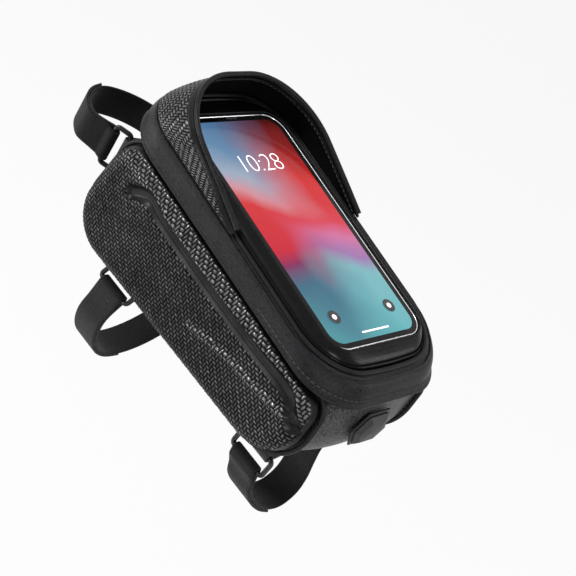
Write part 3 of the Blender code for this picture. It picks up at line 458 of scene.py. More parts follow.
def glow(name):
    """White marks on the lit screen."""
    shader = Shader(name, (0.8, 0.8, 0.8), 0.5, Emission_Color=(1, 1, 1, 1), Emission_Strength=0.9)
    shader.bump(shader.noise(500), 0.00001)
    return shader.material


PRESSED = moulded_cover()
BAND = fine_cover("band_cover", 0.016, 0.36, grain=0.00016, size=1500, shine=0.12)
GRAINED = fine_cover("gusset_cover", 0.020, 0.34, grain=0.0009, size=700, shine=0.45)
BORDER = fine_cover("border_cover", 0.006, 0.24, grain=0.00001, size=2600)
TRIM = fine_cover("trim_cover", 0.016, 0.40, grain=0.00004, size=2200)
LINING = fine_cover("visor_lining", 0.0045, 0.36, grain=0.00003, size=2000)
TAPE = woven("zip_tape", 0.018)
POCKET = woven("pocket_cloth", 0.016, pitch=0.0011)
STRAP = felt()
PLASTIC = hard("moulded_plastic", 0.010, 0.38)
RUBBER = hard("soft_rubber", 0.014, 0.46, grain=0.00004)
THREAD = hard("thread", 0.050, 0.6)
DARK_METAL = metal("slider_metal", 0.10, 0.35)
SILVER = metal("phone_frame", 0.72, 0.16)
FILM = film()
DISPLAY = display()
MARKS = glow("screen_marks")
SHADE = hard("screen_buttons", 0.05, 0.5)


# Outlines


def mix(a, b, share):
    return a + (b - a) * share


def straight(p, q, steps):
    """The points from p to q, both included."""
    p, q = np.array(p, float), np.array(q, float)
    return [tuple(mix(p, q, i / steps)) for i in range(steps + 1)]


def arc(centre, radius, first, last, steps):
    """Points of a circle from one angle to another, in degrees."""
    angles = np.radians(np.linspace(first, last, steps + 1))
    return [(centre[0] + radius * math.cos(a), centre[1] + radius * math.sin(a)) for a in angles]


def fillet(before, corner, after, radius, steps):
    """The round that replaces a corner, as steps + 1 points."""
    corner = Vector(corner)
    back = (Vector(before) - corner).normalized()
    ahead = (Vector(after) - corner).normalized()
    half = back.angle(ahead) / 2
    middle = corner + (back + ahead).normalized() * radius / math.sin(half)
    start = corner + back * radius / math.tan(half) - middle
    turn = start.angle_signed(corner + ahead * radius / math.tan(half) - middle)
    spokes = [Matrix.Rotation(turn * -i / steps, 2) @ start for i in range(steps + 1)]
    return [(middle.x + s.x, middle.y + s.y) for s in spokes]


def smooth_path(points, steps):
    """A Catmull-Rom curve through the points of an open path."""
    ends_twice = [points[0], *points, points[-1]]
    path = []
    for i in range(1, len(ends_twice) - 2):
        p0, p1, p2, p3 = (np.array(p, float) for p in ends_twice[i - 1 : i + 3])
        for t in np.arange(steps) / steps:
            curve = 2 * p1 + (p2 - p0) * t + (2 * p0 - 5 * p1 + 4 * p2 - p3) * t * t
            path.append(tuple((curve + (3 * p1 - p0 - 3 * p2 + p3) * t**3) / 2))
    return path + [tuple(points[-1])]


def plan_half(half, front, rear, front_corner, rear_corner, front_bow, rear_bow):
    """The left half of an outline seen from above, from its front middle to its rear middle."""

    def end(sign, reach, corner, bow):
        curve = [(-(half - corner) * i / END_STEPS, reach) for i in range(END_STEPS)]
        curve += arc((corner - half, reach - corner), corner, 90, 180, CORNER_STEPS)
        return [(x, sign * (y - bow * (x / half) ** 2)) for x, y in curve]

    ahead = end(1, front, front_corner, front_bow)
    behind = end(-1, rear, rear_corner, rear_bow)
    side = straight(ahead[-1], behind[-1], SIDE_STEPS)[1:-1]
    return ahead + side + behind[::-1]


def plan_loop(*sizes):
    """The whole outline, from its front middle round by the left, as an array of (x, y)."""
    left = plan_half(*sizes)
    return np.array(left + [(-x, y) for x, y in left[-2:0:-1]])


def grown(shape, grow):
    """An outline's sizes with its sides and corners moved out."""
    return (*(size + grow for size in shape[:5]), *shape[5:])


def at_height(loop, height):
    """An outline as points at one height, or at a height for each of its points."""
    return np.column_stack([loop, np.broadcast_to(height, len(loop))])


def phone_loop(grow, height):
    half, end, corner = PHONE_HALF + grow, PHONE_END + grow, PHONE_CORNER + grow
    return at_height(plan_loop(half, end, end, corner, corner, 0, 0), height)


def rim_loop(grow, height):
    return at_height(plan_loop(*grown(RIM_SHAPE, grow)), height)


def band_drop(y):
    share = (y + BAND_SHAPE[2]) / (BAND_SHAPE[1] + BAND_SHAPE[2])
    return mix(BAND_DROP_REAR, BAND_DROP_FRONT, share)


def through(rows, places, marks):
    """Rows of points at the given places, smoothly through rows that stand at marks."""
    rows = [np.array(row, float) for row in rows]
    slopes = np.gradient(np.array(rows), np.array(marks), axis=0, edge_order=1)
    found = []
    for place in places:
        i = min(max(np.searchsorted(marks, place, side="right") - 1, 0), len(marks) - 2)
        gap = marks[i + 1] - marks[i]
        t = (place - marks[i]) / gap
        first = (2 * t**3 - 3 * t**2 + 1) * rows[i] + (t**3 - 2 * t**2 + t) * gap * slopes[i]
        last = (3 * t**2 - 2 * t**3) * rows[i + 1] + (t**3 - t**2) * gap * slopes[i + 1]
        found.append(first + last)
    return np.array(found)


# Mesh helpers


def add_piece(name, data, material, body, node=(), place=None):
    """Puts a piece in the scene, riding on its body and standing for its CAD nodes."""
    obj = bpy.data.objects.new(name, data)
    bpy.context.scene.collection.objects.link(obj)
    if place is not None:
        obj.matrix_world = place
    data.materials.append(material)
    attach(obj, body)
    if node:
        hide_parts(*([node] if isinstance(node, str) else node))
    return obj


def smooth(mesh, angle=50):
    mesh.shade_smooth()
    mesh.set_sharp_from_angle(angle=math.radians(angle))
    return mesh


def grid_mesh(name, rows, closed=False, flip=False, **fields):
    """A surface through rows of points, with a number for each point of every named field."""
    rows = np.array(rows, float)
    height, width = rows.shape[:2]
    index = np.arange(height * width).reshape(height, width)
    if closed:
        index = np.column_stack([index, index[:, 0]])
    corners = (index[:-1, :-1], index[:-1, 1:], index[1:, 1:], index[1:, :-1])
    quads = np.stack(corners, axis=-1).reshape(-1, 4)
    if flip:
        quads = quads[:, ::-1]
    mesh = bpy.data.meshes.new(name)
    mesh.from_pydata(rows.reshape(-1, 3).tolist(), [], quads.tolist())
    for field, values in fields.items():
        data = mesh.attributes.new(field, "FLOAT", "POINT").data
        data.foreach_set("value", np.ravel(values).astype(np.float32))
    return smooth(mesh)


def walled(obj, wall):
    """Gives a surface its thickness, behind it."""
    solid = obj.modifiers.new("wall", "SOLIDIFY")
    solid.thickness = wall
    solid.offset = -1.0


def bevelled(obj, width, segments):
    bevel = obj.modifiers.new("edges", "BEVEL")
    bevel.width = width
    bevel.segments = segments


def reach_along(line):
    """How far along a line each of its points lies."""
    return np.concatenate([[0], np.cumsum(np.linalg.norm(np.diff(line, axis=0), axis=1))])


def read_at(values, reach, at):
    """Rows of three numbers, given for points along a line, read at other distances along it."""
    return np.stack([np.interp(at, reach, values[:, k]) for k in range(3)], axis=-1)


def join_rings(made, grid):
    """Faces round and along rings of a bmesh's points."""
    for first, second in zip(grid, grid[1:]):
        for i, point in enumerate(first):
            j = (i + 1) % len(first)
            made.faces.new((point, first[j], second[j], second[i]))


def close_ends(made, grid):
    made.faces.new(grid[0][::-1])
    made.faces.new(grid[-1])


def finished_mesh(name, made, angle=50):
    """A bmesh as a mesh, with its faces turned outwards and shaded smooth."""
    bmesh.ops.recalc_face_normals(made, faces=made.faces[:])
    mesh = bpy.data.meshes.new(name)
    made.to_mesh(mesh)
    made.free()
    return smooth(mesh, angle)


def normals_of(rows):
    """The unit normals of a grid, column direction by row direction."""
    down = np.gradient(rows, axis=0)
    along = np.gradient(rows, axis=1)
    cross = np.cross(along, down)
    return cross / np.maximum(np.linalg.norm(cross, axis=2, keepdims=True), 1e-12)


def wrapped(rows):
    """A closed grid with its last and first columns repeated, so that gradients run round."""
    return np.concatenate([rows[:, -1:], rows, rows[:, :1]], axis=1)


def tube_rows(points, radius, sides=10, cyclic=False):
    """Rings round a line: one row of points for each of its points."""
    points = np.array(points, float)
    if cyclic:
        ahead = np.roll(points, -1, axis=0) - np.roll(points, 1, axis=0)
    else:
        ahead = np.gradient(points, axis=0)
    ahead /= np.linalg.norm(ahead, axis=1, keepdims=True)
    normal = np.cross(ahead[0], (0.0, 0.0, 1.0))
    if np.linalg.norm(normal) < 1e-6:
        normal = np.array((1.0, 0.0, 0.0))
    rings = []
    radii = np.broadcast_to(radius, len(points))
    for point, along, reach in zip(points, ahead, radii):
        normal = normal - along * normal.dot(along)
        normal /= np.linalg.norm(normal)
        side = np.cross(along, normal)
        angles = np.arange(sides) * math.tau / sides
        rings.append(point + reach * (np.outer(np.cos(angles), normal) + np.outer(np.sin(angles), side)))
    return np.array(rings)


def tube_mesh(name, points, radius, sides=10, cyclic=False):
    made = bmesh.new()
    grid = [[made.verts.new(p) for p in ring] for ring in tube_rows(points, radius, sides, cyclic)]
    if cyclic:
        shift = min(range(sides), key=lambda k: (grid[0][k].co - grid[-1][0].co).length)
        grid.append(grid[0][shift:] + grid[0][:shift])
    join_rings(made, grid)
    if not cyclic:
        close_ends(made, grid)
    return finished_mesh(name, made)


def prism(name, outlines, low, high, bevel=0.0, segments=3):
    """A plate between two heights from an outer outline and its holes, with rounded edges."""
    curve = bpy.data.curves.new(name + "_outline", "CURVE")
    curve.dimensions = "2D"
    curve.fill_mode = "BOTH"
    curve.extrude = (high - low) / 2 - bevel
    curve.bevel_depth = bevel
    curve.bevel_resolution = segments
    curve.offset = -bevel
    for outline in outlines:
        line = curve.splines.new("POLY")
        line.points.add(len(outline) - 1)
        for target, point in zip(line.points, outline):
            target.co = (point[0], point[1], (low + high) / 2, 1.0)
        line.use_cyclic_u = True
    holder = bpy.data.objects.new(name, curve)
    bpy.context.scene.collection.objects.link(holder)
    mesh = bpy.data.meshes.new_from_object(holder.evaluated_get(bpy.context.evaluated_depsgraph_get()))
    bpy.data.objects.remove(holder)
    mesh.transform(Matrix.Translation((0, 0, (low + high) / 2)))
    mesh.name = name
    return smooth(mesh, 35)


def stitches(name, points, normals, body, length=0.0022, gap=0.0012, radius=0.00028, place=None):
    """Short stitches along a line, each a rounded bead sunk halfway into the surface."""
    points, normals = np.array(points, float), np.array(normals, float)
    reach = reach_along(points)
    made = bmesh.new()
    for start in np.arange(gap, reach[-1] - length, length + gap):
        ends = []
        for at in (start, start + length / 2, start + length):
            out = read_at(normals, reach, at)
            painted_highlight = 0.9 if at == start + length / 2 else 0.1
            ends.append(read_at(points, reach, at) + out * radius * painted_highlight)
        rings = tube_rows(smooth_path(ends, 2), radius, 6)
        grid = [[made.verts.new(p) for p in ring] for ring in rings]
        join_rings(made, grid)
        close_ends(made, grid)
    add_piece(name, finished_mesh(name, made, 80), THREAD, body, place=place)


def herringbone(a, b):
    """Bars laid two by one in a herringbone: their height at places a and b, and each one's chance."""
    u, v = a / BAR_WIDTH, b / BAR_WIDTH
    i, j = np.floor(u), np.floor(v)
    turn = np.mod(i - j, 4)
    flat = turn < 2
    along = np.where(flat, u - i + turn, v - j + 3 - turn)
    across = np.where(flat, v - j, u - i)
    crown = np.sin(np.pi * np.clip(across, 0, 1)) ** 0.7
    ends = np.clip(np.sin(np.pi * np.clip(along, 0, 2) / 2), 0, 1) ** 0.45
    first = np.where(flat, i - turn, i) * 12.9898 + np.where(flat, j, j - 3 + turn) * 78.233
    chance = np.mod(np.sin(first) * 43758.5453, 1.0)
    lean = (chance - 0.5) * (along - 1)
    return crown * ends * (0.92 + 0.12 * chance + 0.16 * lean), chance


# Body


MOUTH_FRONT = LID @ Vector((0, BAND_SHAPE[1], -BAND_DROP_FRONT - MOUTH_BELOW_BAND))
MOUTH_REAR = LID @ Vector((0, -BAND_SHAPE[2], -BAND_DROP_REAR - MOUTH_BELOW_BAND))
MOUTH_SLOPE = (MOUTH_FRONT.z - MOUTH_REAR.z) / (MOUTH_FRONT.y - MOUTH_REAR.y)


def mouth_height(y):
    return MOUTH_REAR.z + (y - MOUTH_REAR.y) * MOUTH_SLOPE


def seam_half(y, z):
    return SEAM_HALF_TOP - SEAM_TAPER * (mouth_height(y) - z)


def seam_line():
    """The side shells' outline as (y, z), from the mouth's front end round to its rear end."""
    rear_top = (-SEAM_REAR, mouth_height(-SEAM_REAR))
    front_top = (SEAM_FRONT_TOP, mouth_height(SEAM_FRONT_TOP))
    front_base = (SEAM_FRONT_BASE, SEAM_BASE_HEIGHT)
    rear_base = (-SEAM_REAR, SEAM_BASE_HEIGHT)
    first = fillet(rear_top, front_top, front_base, SEAM_RADII[0], ROUND_STEPS)
    second = fillet(front_top, front_base, rear_base, SEAM_RADII[1], ROUND_STEPS)
    third = fillet(front_base, rear_base, rear_top, SEAM_RADII[2], ROUND_STEPS)
    fourth = fillet(rear_base, rear_top, front_top, SEAM_RADII[3], REAR_STEPS)
    line = first + straight(first[-1], second[0], FRONT_STEPS)[1:-1]
    line += second + straight(second[-1], third[0], BASE_STEPS)[1:-1]
    return line + third + straight(third[-1], fourth[0], REAR_STEPS)[1:-1] + fourth


def middle_line():
    """The gusset's line in the plane of symmetry, with as many points as the seam's."""
    base = PAD_THICKNESS + FIT
    seam = seam_line()
    top = (GUSSET_FRONT, mouth_height(GUSSET_FRONT))
    shoulder = (GUSSET_FRONT, seam[ROUND_STEPS][1])
    neck = (-GUSSET_REAR, seam[-REAR_STEPS - 1][1])
    rear_top = (-GUSSET_REAR, mouth_height(-GUSSET_REAR))
    second = fillet(top, (GUSSET_FRONT, base), (-GUSSET_REAR, base), GUSSET_RADII[0], ROUND_STEPS)
    third = fillet((GUSSET_FRONT, base), (-GUSSET_REAR, base), rear_top, GUSSET_RADII[1], ROUND_STEPS)
    line = straight(top, shoulder, ROUND_STEPS)
    line += straight(shoulder, second[0], FRONT_STEPS)[1:-1] + second
    line += straight(second[-1], third[0], BASE_STEPS)[1:-1] + third
    return line + straight(third[-1], neck, REAR_STEPS)[1:-1] + straight(neck, rear_top, REAR_STEPS)


def distance_to(line, y, z):
    """The shortest distance from each place to a broken line."""
    nearest = np.full(np.shape(y), 1.0)
    for p, q in zip(line, line[1:]):
        dy, dz = q[0] - p[0], q[1] - p[1]
        share = np.clip(((y - p[0]) * dy + (z - p[1]) * dz) / (dy * dy + dz * dz + 1e-15), 0, 1)
        nearest = np.minimum(nearest, np.hypot(y - p[0] - share * dy, z - p[1] - share * dz))
    return nearest


def hump(distance, half_width):
    """1 on a line, falling smoothly to 0 at the half width."""
    return 0.5 + 0.5 * np.cos(np.pi * np.clip(distance / half_width, 0, 1))


def step(distance, low, high):
    """0 below low, 1 above high, smooth between."""
    t = np.clip((distance - low) / (high - low), 0, 1)
    return t * t * (3 - 2 * t)


# The sunk groove and the ridge, as (y, distance below the mouth)
CHANNEL = [
    (0.072, 0.0205), (0.060, 0.0130), (0.044, 0.0142), (0.0, 0.0135), (-0.044, 0.0110), (-0.071, 0.0085),
    (-0.0820, 0.0110), (-0.0885, 0.0200),
]
CHANNEL_FRONT_POINTS = 2
RIDGE = [(-0.088, 0.0165), (-0.066, 0.0220), (-0.036, 0.0280), (-0.006, 0.0375)]


def below_mouth(points):
    return [(y, mouth_height(y) - drop) for y, drop in points]


def panel_relief(y, z):
    """How far a side panel's face stands out from its seam, and where it is smooth."""
    outline = seam_line()
    rim = distance_to(outline + outline[:1], y, z)
    edge = np.minimum(1, rim / SHELL_EDGE)
    height = SHELL_SWELL * np.sqrt(1 - (1 - edge) ** 2)
    lip = [(a, drop - GROOVE_HALF_WIDTH) for a, drop in CHANNEL[CHANNEL_FRONT_POINTS:]]
    away, from_lip, from_ridge = (
        distance_to(smooth_path(below_mouth(line), 6), y, z) for line in (CHANNEL, lip, RIDGE)
    )
    height = height - GROOVE_DEPTH * (1 - step(away, 0.25 * GROOVE_HALF_WIDTH, GROOVE_HALF_WIDTH))
    height = height + GROOVE_LIP_HEIGHT * edge * hump(from_lip, CHANNEL_HALF_WIDTH)
    height = height + RIDGE_HEIGHT * edge * hump(from_ridge, 1.1 * CHANNEL_HALF_WIDTH)
    plain = step(away, 0.70 * GROOVE_HALF_WIDTH, 0.80 * GROOVE_HALF_WIDTH)
    return height, plain * step(rim, 0.0008, 0.0022)


def make_side_panel(name, side):
    """A moulded side with its channel, ridge and pressed herringbone."""
    outline = seam_line()
    points = np.array(outline)
    front, rear = points[:, 0].argmax(), points[:, 0].argmin()
    lower = points[front : rear + 1][::-1]
    upper = np.concatenate([points[rear:], points[: front + 1]])
    count = int((points[front, 0] - points[rear, 0]) / PANEL_STEP)
    shares = np.linspace(0, 1, count)
    shares = 0.93 * shares + 0.07 * (0.5 - 0.5 * np.cos(np.pi * shares))
    y = mix(points[rear, 0], points[front, 0], shares)
    low = np.interp(y, lower[:, 0], lower[:, 1])
    high = np.interp(y, upper[:, 0], upper[:, 1])
    tall = int((high - low).max() / PANEL_STEP)
    z = low[:, None] + (high - low)[:, None] * np.linspace(0, 1, tall)
    y = np.broadcast_to(y[:, None], z.shape)
    relief, textured = panel_relief(y, z)
    bars, chance = herringbone(y, z)
    bars = bars * textured
    rows = np.stack([side * (seam_half(y, z) + relief), y, z], axis=2)
    out = normals_of(rows)
    out *= np.sign(out[..., :1]) * side
    inner = hollow_side(rows, out)
    rows = rows + out * (BAR_RELIEF * bars)[..., None]
    weave = bars + (1 - textured) * SMOOTH_WEAVE
    # Painted highlight: through the gleam field this lightens the colour along the raised crests, over the
    # rear half and along the upper strip below the mouth.
    painted_highlight = 3.0 * step(relief, SHELL_SWELL, SHELL_SWELL + 0.0014) + 1.8 * step(-y, 0.01, 0.085)
    painted_highlight = painted_highlight + 3.0 * (1 - step(mouth_height(y) - z, 0.009, 0.013))
    mesh = grid_mesh(name, rows, flip=side > 0, weave=weave, gleam=(chance + painted_highlight) * textured)
    node = "left_side_shell" if side < 0 else "right_side_shell"
    add_piece(name, mesh, PRESSED, "bag", node)
    add_piece(name + "_inside", grid_mesh(name + "_inside", inner, flip=side < 0), LINING, "bag")


def hollow_side(rows, out):
    """The inner face of a side and the rim that joins it to the outer one."""
    picks = [np.unique(np.linspace(0, count - 1, count // 6).astype(int)) for count in rows.shape[:2]]
    face = rows[np.ix_(*picks)]
    inner = np.pad(face, ((1, 1), (1, 1), (0, 0)), mode="edge")
    inner[1:-1, 1:-1] = face - out[np.ix_(*picks)] * SHELL_WALL
    return inner


def gusset_rows():
    """The gusset's outer face: rows from the front round the base to the rear, columns across."""
    across = np.linspace(-1, 1, GUSSET_COLUMNS)
    seam, middle = np.array(seam_line()), np.array(middle_line())
    bow = 1 - np.abs(across) ** GUSSET_BOW_POWER
    half = seam_half(seam[:, 0], seam[:, 1]) - SHELL_WALL - FIT
    x = half[:, None] * across
    y = mix(seam[:, :1], middle[:, :1], bow)
    z = mix(seam[:, 1:], middle[:, 1:], bow)
    return np.stack([x, y, z], axis=2)


def hexagon(half_width, half_height):
    """A hexagon at the port, with its points left and right, as (x, z)."""
    shoulder = half_width * HEXAGON_SHOULDER
    corners = [(half_width, 0), (shoulder, half_height), (-shoulder, half_height)]
    return [(x, z + PORT_HEIGHT) for x, z in corners + [(-x, -z) for x, z in corners]]


def upright(mesh, y):
    """Turns a plate from the XY plane to stand across the bag, its low side to the rear at y."""
    mesh.transform(Matrix.Translation((0, y, 0)) @ Matrix.Rotation(math.radians(90), 4, "X"))
    return mesh


def make_gusset():
    rows = gusset_rows()
    mesh = grid_mesh("gusset_cover", rows)
    obj = add_piece("gusset_cover", mesh, GRAINED, "bag", "gusset")
    walled(obj, GUSSET_WALL)
    through_wall = prism("port_cut", [hexagon(*PORT_HOLE)], -0.008, 0.008)
    cutter = bpy.data.objects.new("port_cut", upright(through_wall, -GUSSET_REAR))
    bpy.context.scene.collection.objects.link(cutter)
    hole = obj.modifiers.new("port", "BOOLEAN")
    hole.operation = "DIFFERENCE"
    hole.object = cutter
    bpy.context.view_layer.update()
    mesh = bpy.data.meshes.new_from_object(obj.evaluated_get(bpy.context.evaluated_depsgraph_get()))
    obj.modifiers.clear()
    obj.data = smooth(mesh)
    bpy.data.objects.remove(cutter)


def seam_path(side, offset):
    """The seam's line moved off the shell's edge, with the directions away from the bag."""
    line = seam_line()[ROUND_STEPS // 3 : -2]
    points, out = [], []
    for i in range(1, len(line) - 1):
        along = (Vector(line[i + 1]) - Vector(line[i - 1])).normalized()
        away = Vector((-along.y, along.x))
        y, z = Vector(line[i]) + away * offset
        points.append((side * (seam_half(*line[i]) - SHELL_WALL), y, z))
        out.append((0, away.x, away.y))
    return points, out


def make_seams():
    for name, side in (("left", -1), ("right", 1)):
        points, out = seam_path(side, PIPING_RADIUS + FIT)
        mesh = tube_mesh(name + "_piping", points, PIPING_RADIUS - 0.0001, 12)
        add_piece(name + "_piping", mesh, TRIM, "bag", name + "_seam_piping")
        flange, out = seam_path(side, 0.0009)
        flange = [(x - side * 0.0021, y, z) for x, y, z in flange]
        stitches(name + "_seam_stitches", flange, out, "bag", length=0.0019, gap=0.0011)


def make_base():
    mesh = prism("seat_pad", [plan_loop(*PAD_SHAPE)], 0, PAD_THICKNESS, 0.0004)
    add_piece("seat_pad", mesh, RUBBER, "bag", "base_pad")


# Zip


def zip_line(grow):
    """The zip from its front left end round the rear to its front right end, as (x, y)."""
    half = ZIP_HALF + grow
    rear = GUSSET_REAR - GUSSET_WALL - 0.0030 + grow
    left = plan_half(half, BAND_SHAPE[1], rear, ZIP_CORNER, ZIP_CORNER, 0, ZIP_REAR_BOW)
    corner = left[-END_STEPS - CORNER_STEPS - 1 :]
    left = straight((-half, ZIP_FRONT), corner[0], SIDE_STEPS)[:-1] + corner
    return left + [(-x, y) for x, y in left[-2::-1]]


def mouth_row(grow, lift):
    return [(x, y, mouth_height(y) + lift) for x, y in zip_line(grow)]


def make_teeth(name, lift, body, node, shift):
    """One row of a coil zip: a filament that loops over the tape's edge at every pitch."""
    line = np.array(mouth_row(0, lift + COIL_HEIGHT / 2))
    reach = reach_along(line)
    turns = int(reach[-1] / TOOTH_PITCH)
    at = np.linspace(0, reach[-1], turns * 8)
    spot = read_at(line, reach, at)
    along = np.gradient(spot, axis=0)
    along /= np.linalg.norm(along, axis=1, keepdims=True)
    side = np.cross(along, (0, 0, 1.0))
    angle = math.tau * at / TOOTH_PITCH + shift
    wide, tall = COIL_HALF_WIDTH - COIL_WIRE, COIL_HEIGHT / 2 - COIL_WIRE
    sway = side * (wide * np.cos(angle))[:, None]
    rise = np.array((0, 0, 1.0)) * (tall * np.sin(angle))[:, None]
    mesh = tube_mesh(name, spot + sway + rise, COIL_WIRE, 5)
    add_piece(name, mesh, PLASTIC, body, node)


def below_glass(y, drop):
    """The height at y of a plane that lies a drop below the phone's glass."""
    return GLASS_HEIGHT + (y * math.sin(LID_TILT) - drop) / math.cos(LID_TILT)


def make_zip():
    half = TAPE_WALL / 2
    flange = TAPE_DEPTH + TAPE_WALL + 2 * FIT
    lower = [mouth_row(half, lift) for lift in np.linspace(-FIT, -TAPE_DEPTH, 6)]
    foot = mouth_row(half, COIL_UP + COIL_HEIGHT + 2 * FIT)
    head = [(x, y, below_glass(y, flange)) for x, y in zip_line(0)]
    upper = [mix(np.array(head), np.array(foot), share) for share in np.linspace(0, 1, 8)]
    for name, rows, body in (("lower", lower, "bag"), ("upper", upper, "lid")):
        mesh = grid_mesh(name + "_tape", rows, flip=True)
        tape = add_piece(name + "_tape", mesh, TAPE, body, name + "_zip_tape")
        walled(tape, TAPE_WALL)
    make_teeth("lower_coil", COIL_LOW, "bag", "lower_zip_coil", 0)
    make_teeth("upper_coil", COIL_UP, "lid", "upper_zip_coil", math.pi)


# Lid


def band_rows(places):
    """The band's outer face at places from its top edge, 0, to its lower edge, 1."""
    rim = rim_loop(BAND_TOP, -RIM_DROP)
    loop = plan_loop(*BAND_SHAPE)
    skirt = at_height(loop, -band_drop(loop[:, 1]))
    shoulder = mix(rim, skirt, 0.22)
    shoulder[:, 2] = -RIM_DROP - 0.0012
    waist = mix(rim, skirt, 0.6)
    return through([rim, shoulder, waist, skirt], places, [0, 0.22, 0.6, 1])


def make_band():
    places = np.concatenate([np.linspace(0, 0.3, 14), np.linspace(0.33, 1, 26)])
    rows = band_rows(places)
    out = -normals_of(wrapped(rows))[:, 1:-1]
    roll, crease, hem = (
        sum(height * hump(np.abs(places - place), half)[:, None] for height, place, half in lines)
        for lines in (BAND_ROLLS, BAND_CREASES, BAND_HEM)
    )
    lift = roll + crease * step(-rows[..., 1], 0.020, 0.075) + hem
    rows = rows + out * lift[..., None]
    mesh = grid_mesh("band_cover", rows, closed=True, flip=True)
    obj = add_piece("band_cover", mesh, BAND, "lid", "lid_band", LID)
    walled(obj, BAND_WALL - 0.0002)
    near = band_rows([STITCHED_PLACE - 0.02, STITCHED_PLACE, STITCHED_PLACE + 0.02])
    line, outward = near[1], -normals_of(wrapped(near))[1, 1:-1]
    chosen = [i for i in range(len(line)) if line[i][1] < STITCHED_FROM]
    stitches("band_stitches", line[chosen], outward[chosen], "lid", place=LID)


def make_rim():
    loop = rim_loop(0, -RIM_DROP)
    mesh = tube_mesh("rim_cord", loop, PIPING_RADIUS - 0.0001, 14, cyclic=True)
    add_piece("rim_cord", mesh, TRIM, "lid", "rim_piping", LID)
    inner = rim_loop(-PIPING_RADIUS - FIT, -RIM_DROP - 0.0018)
    middle = rim_loop(0, -RIM_DROP - 0.0018)
    outer = rim_loop(BAND_TOP - 0.0003, -RIM_DROP - 0.0006)
    welt = grid_mesh("rim_welt", [inner, middle, outer], closed=True, flip=True)
    walled(add_piece("rim_welt", welt, TAPE, "lid", place=LID), WELT_WALL)


def make_border():
    """The black border: a slope from the film down to a small bead at the rim."""
    top = FIT + FILM_WALL
    inner = phone_loop(FILM_MARGIN + FIT, top)
    outer = rim_loop(-PIPING_RADIUS - FIT, -RIM_DROP - 0.0006)
    rows = [inner]
    profile = (
        (0.03, top + 0.0003), (0.10, top + 0.0001), (0.25, 0.0002), (0.45, -0.0008), (0.62, -0.0018),
        (0.76, -0.0031), (0.82, -0.0040), (0.86, -0.0033), (0.90, -0.0031), (0.94, -0.0035),
    )
    for share, height in profile:
        row = mix(inner, outer, share)
        row[:, 2] = height
        rows.append(row)
    rows.append(outer)
    marks = [0.0, *(share for share, _ in profile), 1.0]
    fine = through(rows, np.linspace(0, 1, 48), marks)
    mesh = grid_mesh("border_cover", fine, closed=True, flip=True)
    obj = add_piece("border_cover", mesh, BORDER, "lid", "window_border", LID)
    walled(obj, BORDER_WALL)


def rounded_box(half_width, half_length, corner):
    return plan_loop(half_width, half_length, half_length, corner, corner, 0, 0)


def screen_mark(name, outlines, material, low=0.00004, high=0.00012):
    add_piece(name, prism(name, outlines, low, high), material, "lid", place=LID)


def make_phone():
    body = prism("phone_body", [phone_loop(0, 0)], -PHONE_THICKNESS, -GLASS_THICKNESS - FIT, 0.0016, 4)
    add_piece("phone_body", body, SILVER, "lid", "phone_frame", LID)
    glass = prism("phone_screen", [phone_loop(-0.0006, 0)], -GLASS_THICKNESS, 0, 0.0002, 2)
    add_piece("phone_screen", glass, DISPLAY, "lid", "phone_glass", LID)
    lip = tube_mesh("phone_lip", phone_loop(0.0, -0.0004), 0.00042, 10, cyclic=True)
    add_piece("phone_lip", lip, SILVER, "lid", place=LID)
    edge = tube_mesh("film_edge", phone_loop(0.0016, FIT + 0.0004), 0.00030, 8, cyclic=True)
    add_piece("film_edge", edge, TRIM, "lid", place=LID)
    sheet = prism("clear_film", [phone_loop(FILM_MARGIN, 0)], FIT, FIT + FILM_WALL)
    add_piece("clear_film", sheet, FILM, "lid", "window_film", LID)
    make_screen_marks()


def moved(outline, x, y):
    return [(a + x, b + y) for a, b, *_ in outline]


def make_screen_marks():
    """Plain marks of a locked screen: a clock, round buttons, a bar and a speaker slot."""
    text = bpy.data.curves.new("clock_digits", "FONT")
    text.body = "10:28"
    text.size = 0.0175
    text.align_x = "CENTER"
    text.extrude = 0.00003
    text.space_character = 0.94
    text.offset = -0.00046
    place = LID @ Matrix.Translation((-0.001, 0.0385, 0.00008))
    add_piece("clock_digits", text, MARKS, "lid", place=place)
    bar = moved(rounded_box(0.0115, 0.0005, 0.00049), 0.001, -PHONE_END + BEZEL + 0.0040)
    screen_mark("screen_bar", [bar], MARKS)
    slot = moved(rounded_box(0.0040, 0.0006, 0.00059), 0, PHONE_END - BEZEL / 2)
    screen_mark("speaker_slot", [slot], SHADE)
    for name, side in (("left", -1), ("right", 1)):
        spot = (side * BUTTON_SPOT[0], BUTTON_SPOT[1])
        screen_mark(name + "_button", [arc(spot, 0.0042, 0, 360, 32)[:-1]], SHADE)
        screen_mark(name + "_button_dot", [arc(spot, 0.0016, 0, 360, 24)[:-1]], MARKS, 0.00013, 0.00018)


def visor_lines():
    """The foot and the lip of the visor's wall, from its left tip round to its right one."""

    def half_line(sizes):
        front = plan_half(*sizes)[: END_STEPS + CORNER_STEPS + 1]
        return front + straight(front[-1], (front[-1][0], VISOR_TIP), 40)[1:]

    foot = half_line(grown(RIM_SHAPE, BAND_TOP + 0.0005))
    lip = half_line(VISOR_LIP_SHAPE)
    slope = (VISOR_LIP_HEIGHT - VISOR_LOW - VISOR_TIP_HEIGHT) / (VISOR_LIP_SHAPE[1] - VISOR_TIP)
    left_foot = [(x, y, VISOR_LOW) for x, y in foot]
    left_lip = [(x, y, VISOR_LOW + VISOR_TIP_HEIGHT + slope * (y - VISOR_TIP)) for x, y in lip]
    whole = [line[::-1] + [(-x, y, z) for x, y, z in line[1:]] for line in (left_foot, left_lip)]
    return np.array(whole[0]), np.array(whole[1])


def resampled(line, count):
    """A line with evenly spaced points."""
    reach = reach_along(line)
    return read_at(line, reach, np.linspace(0, reach[-1], count))


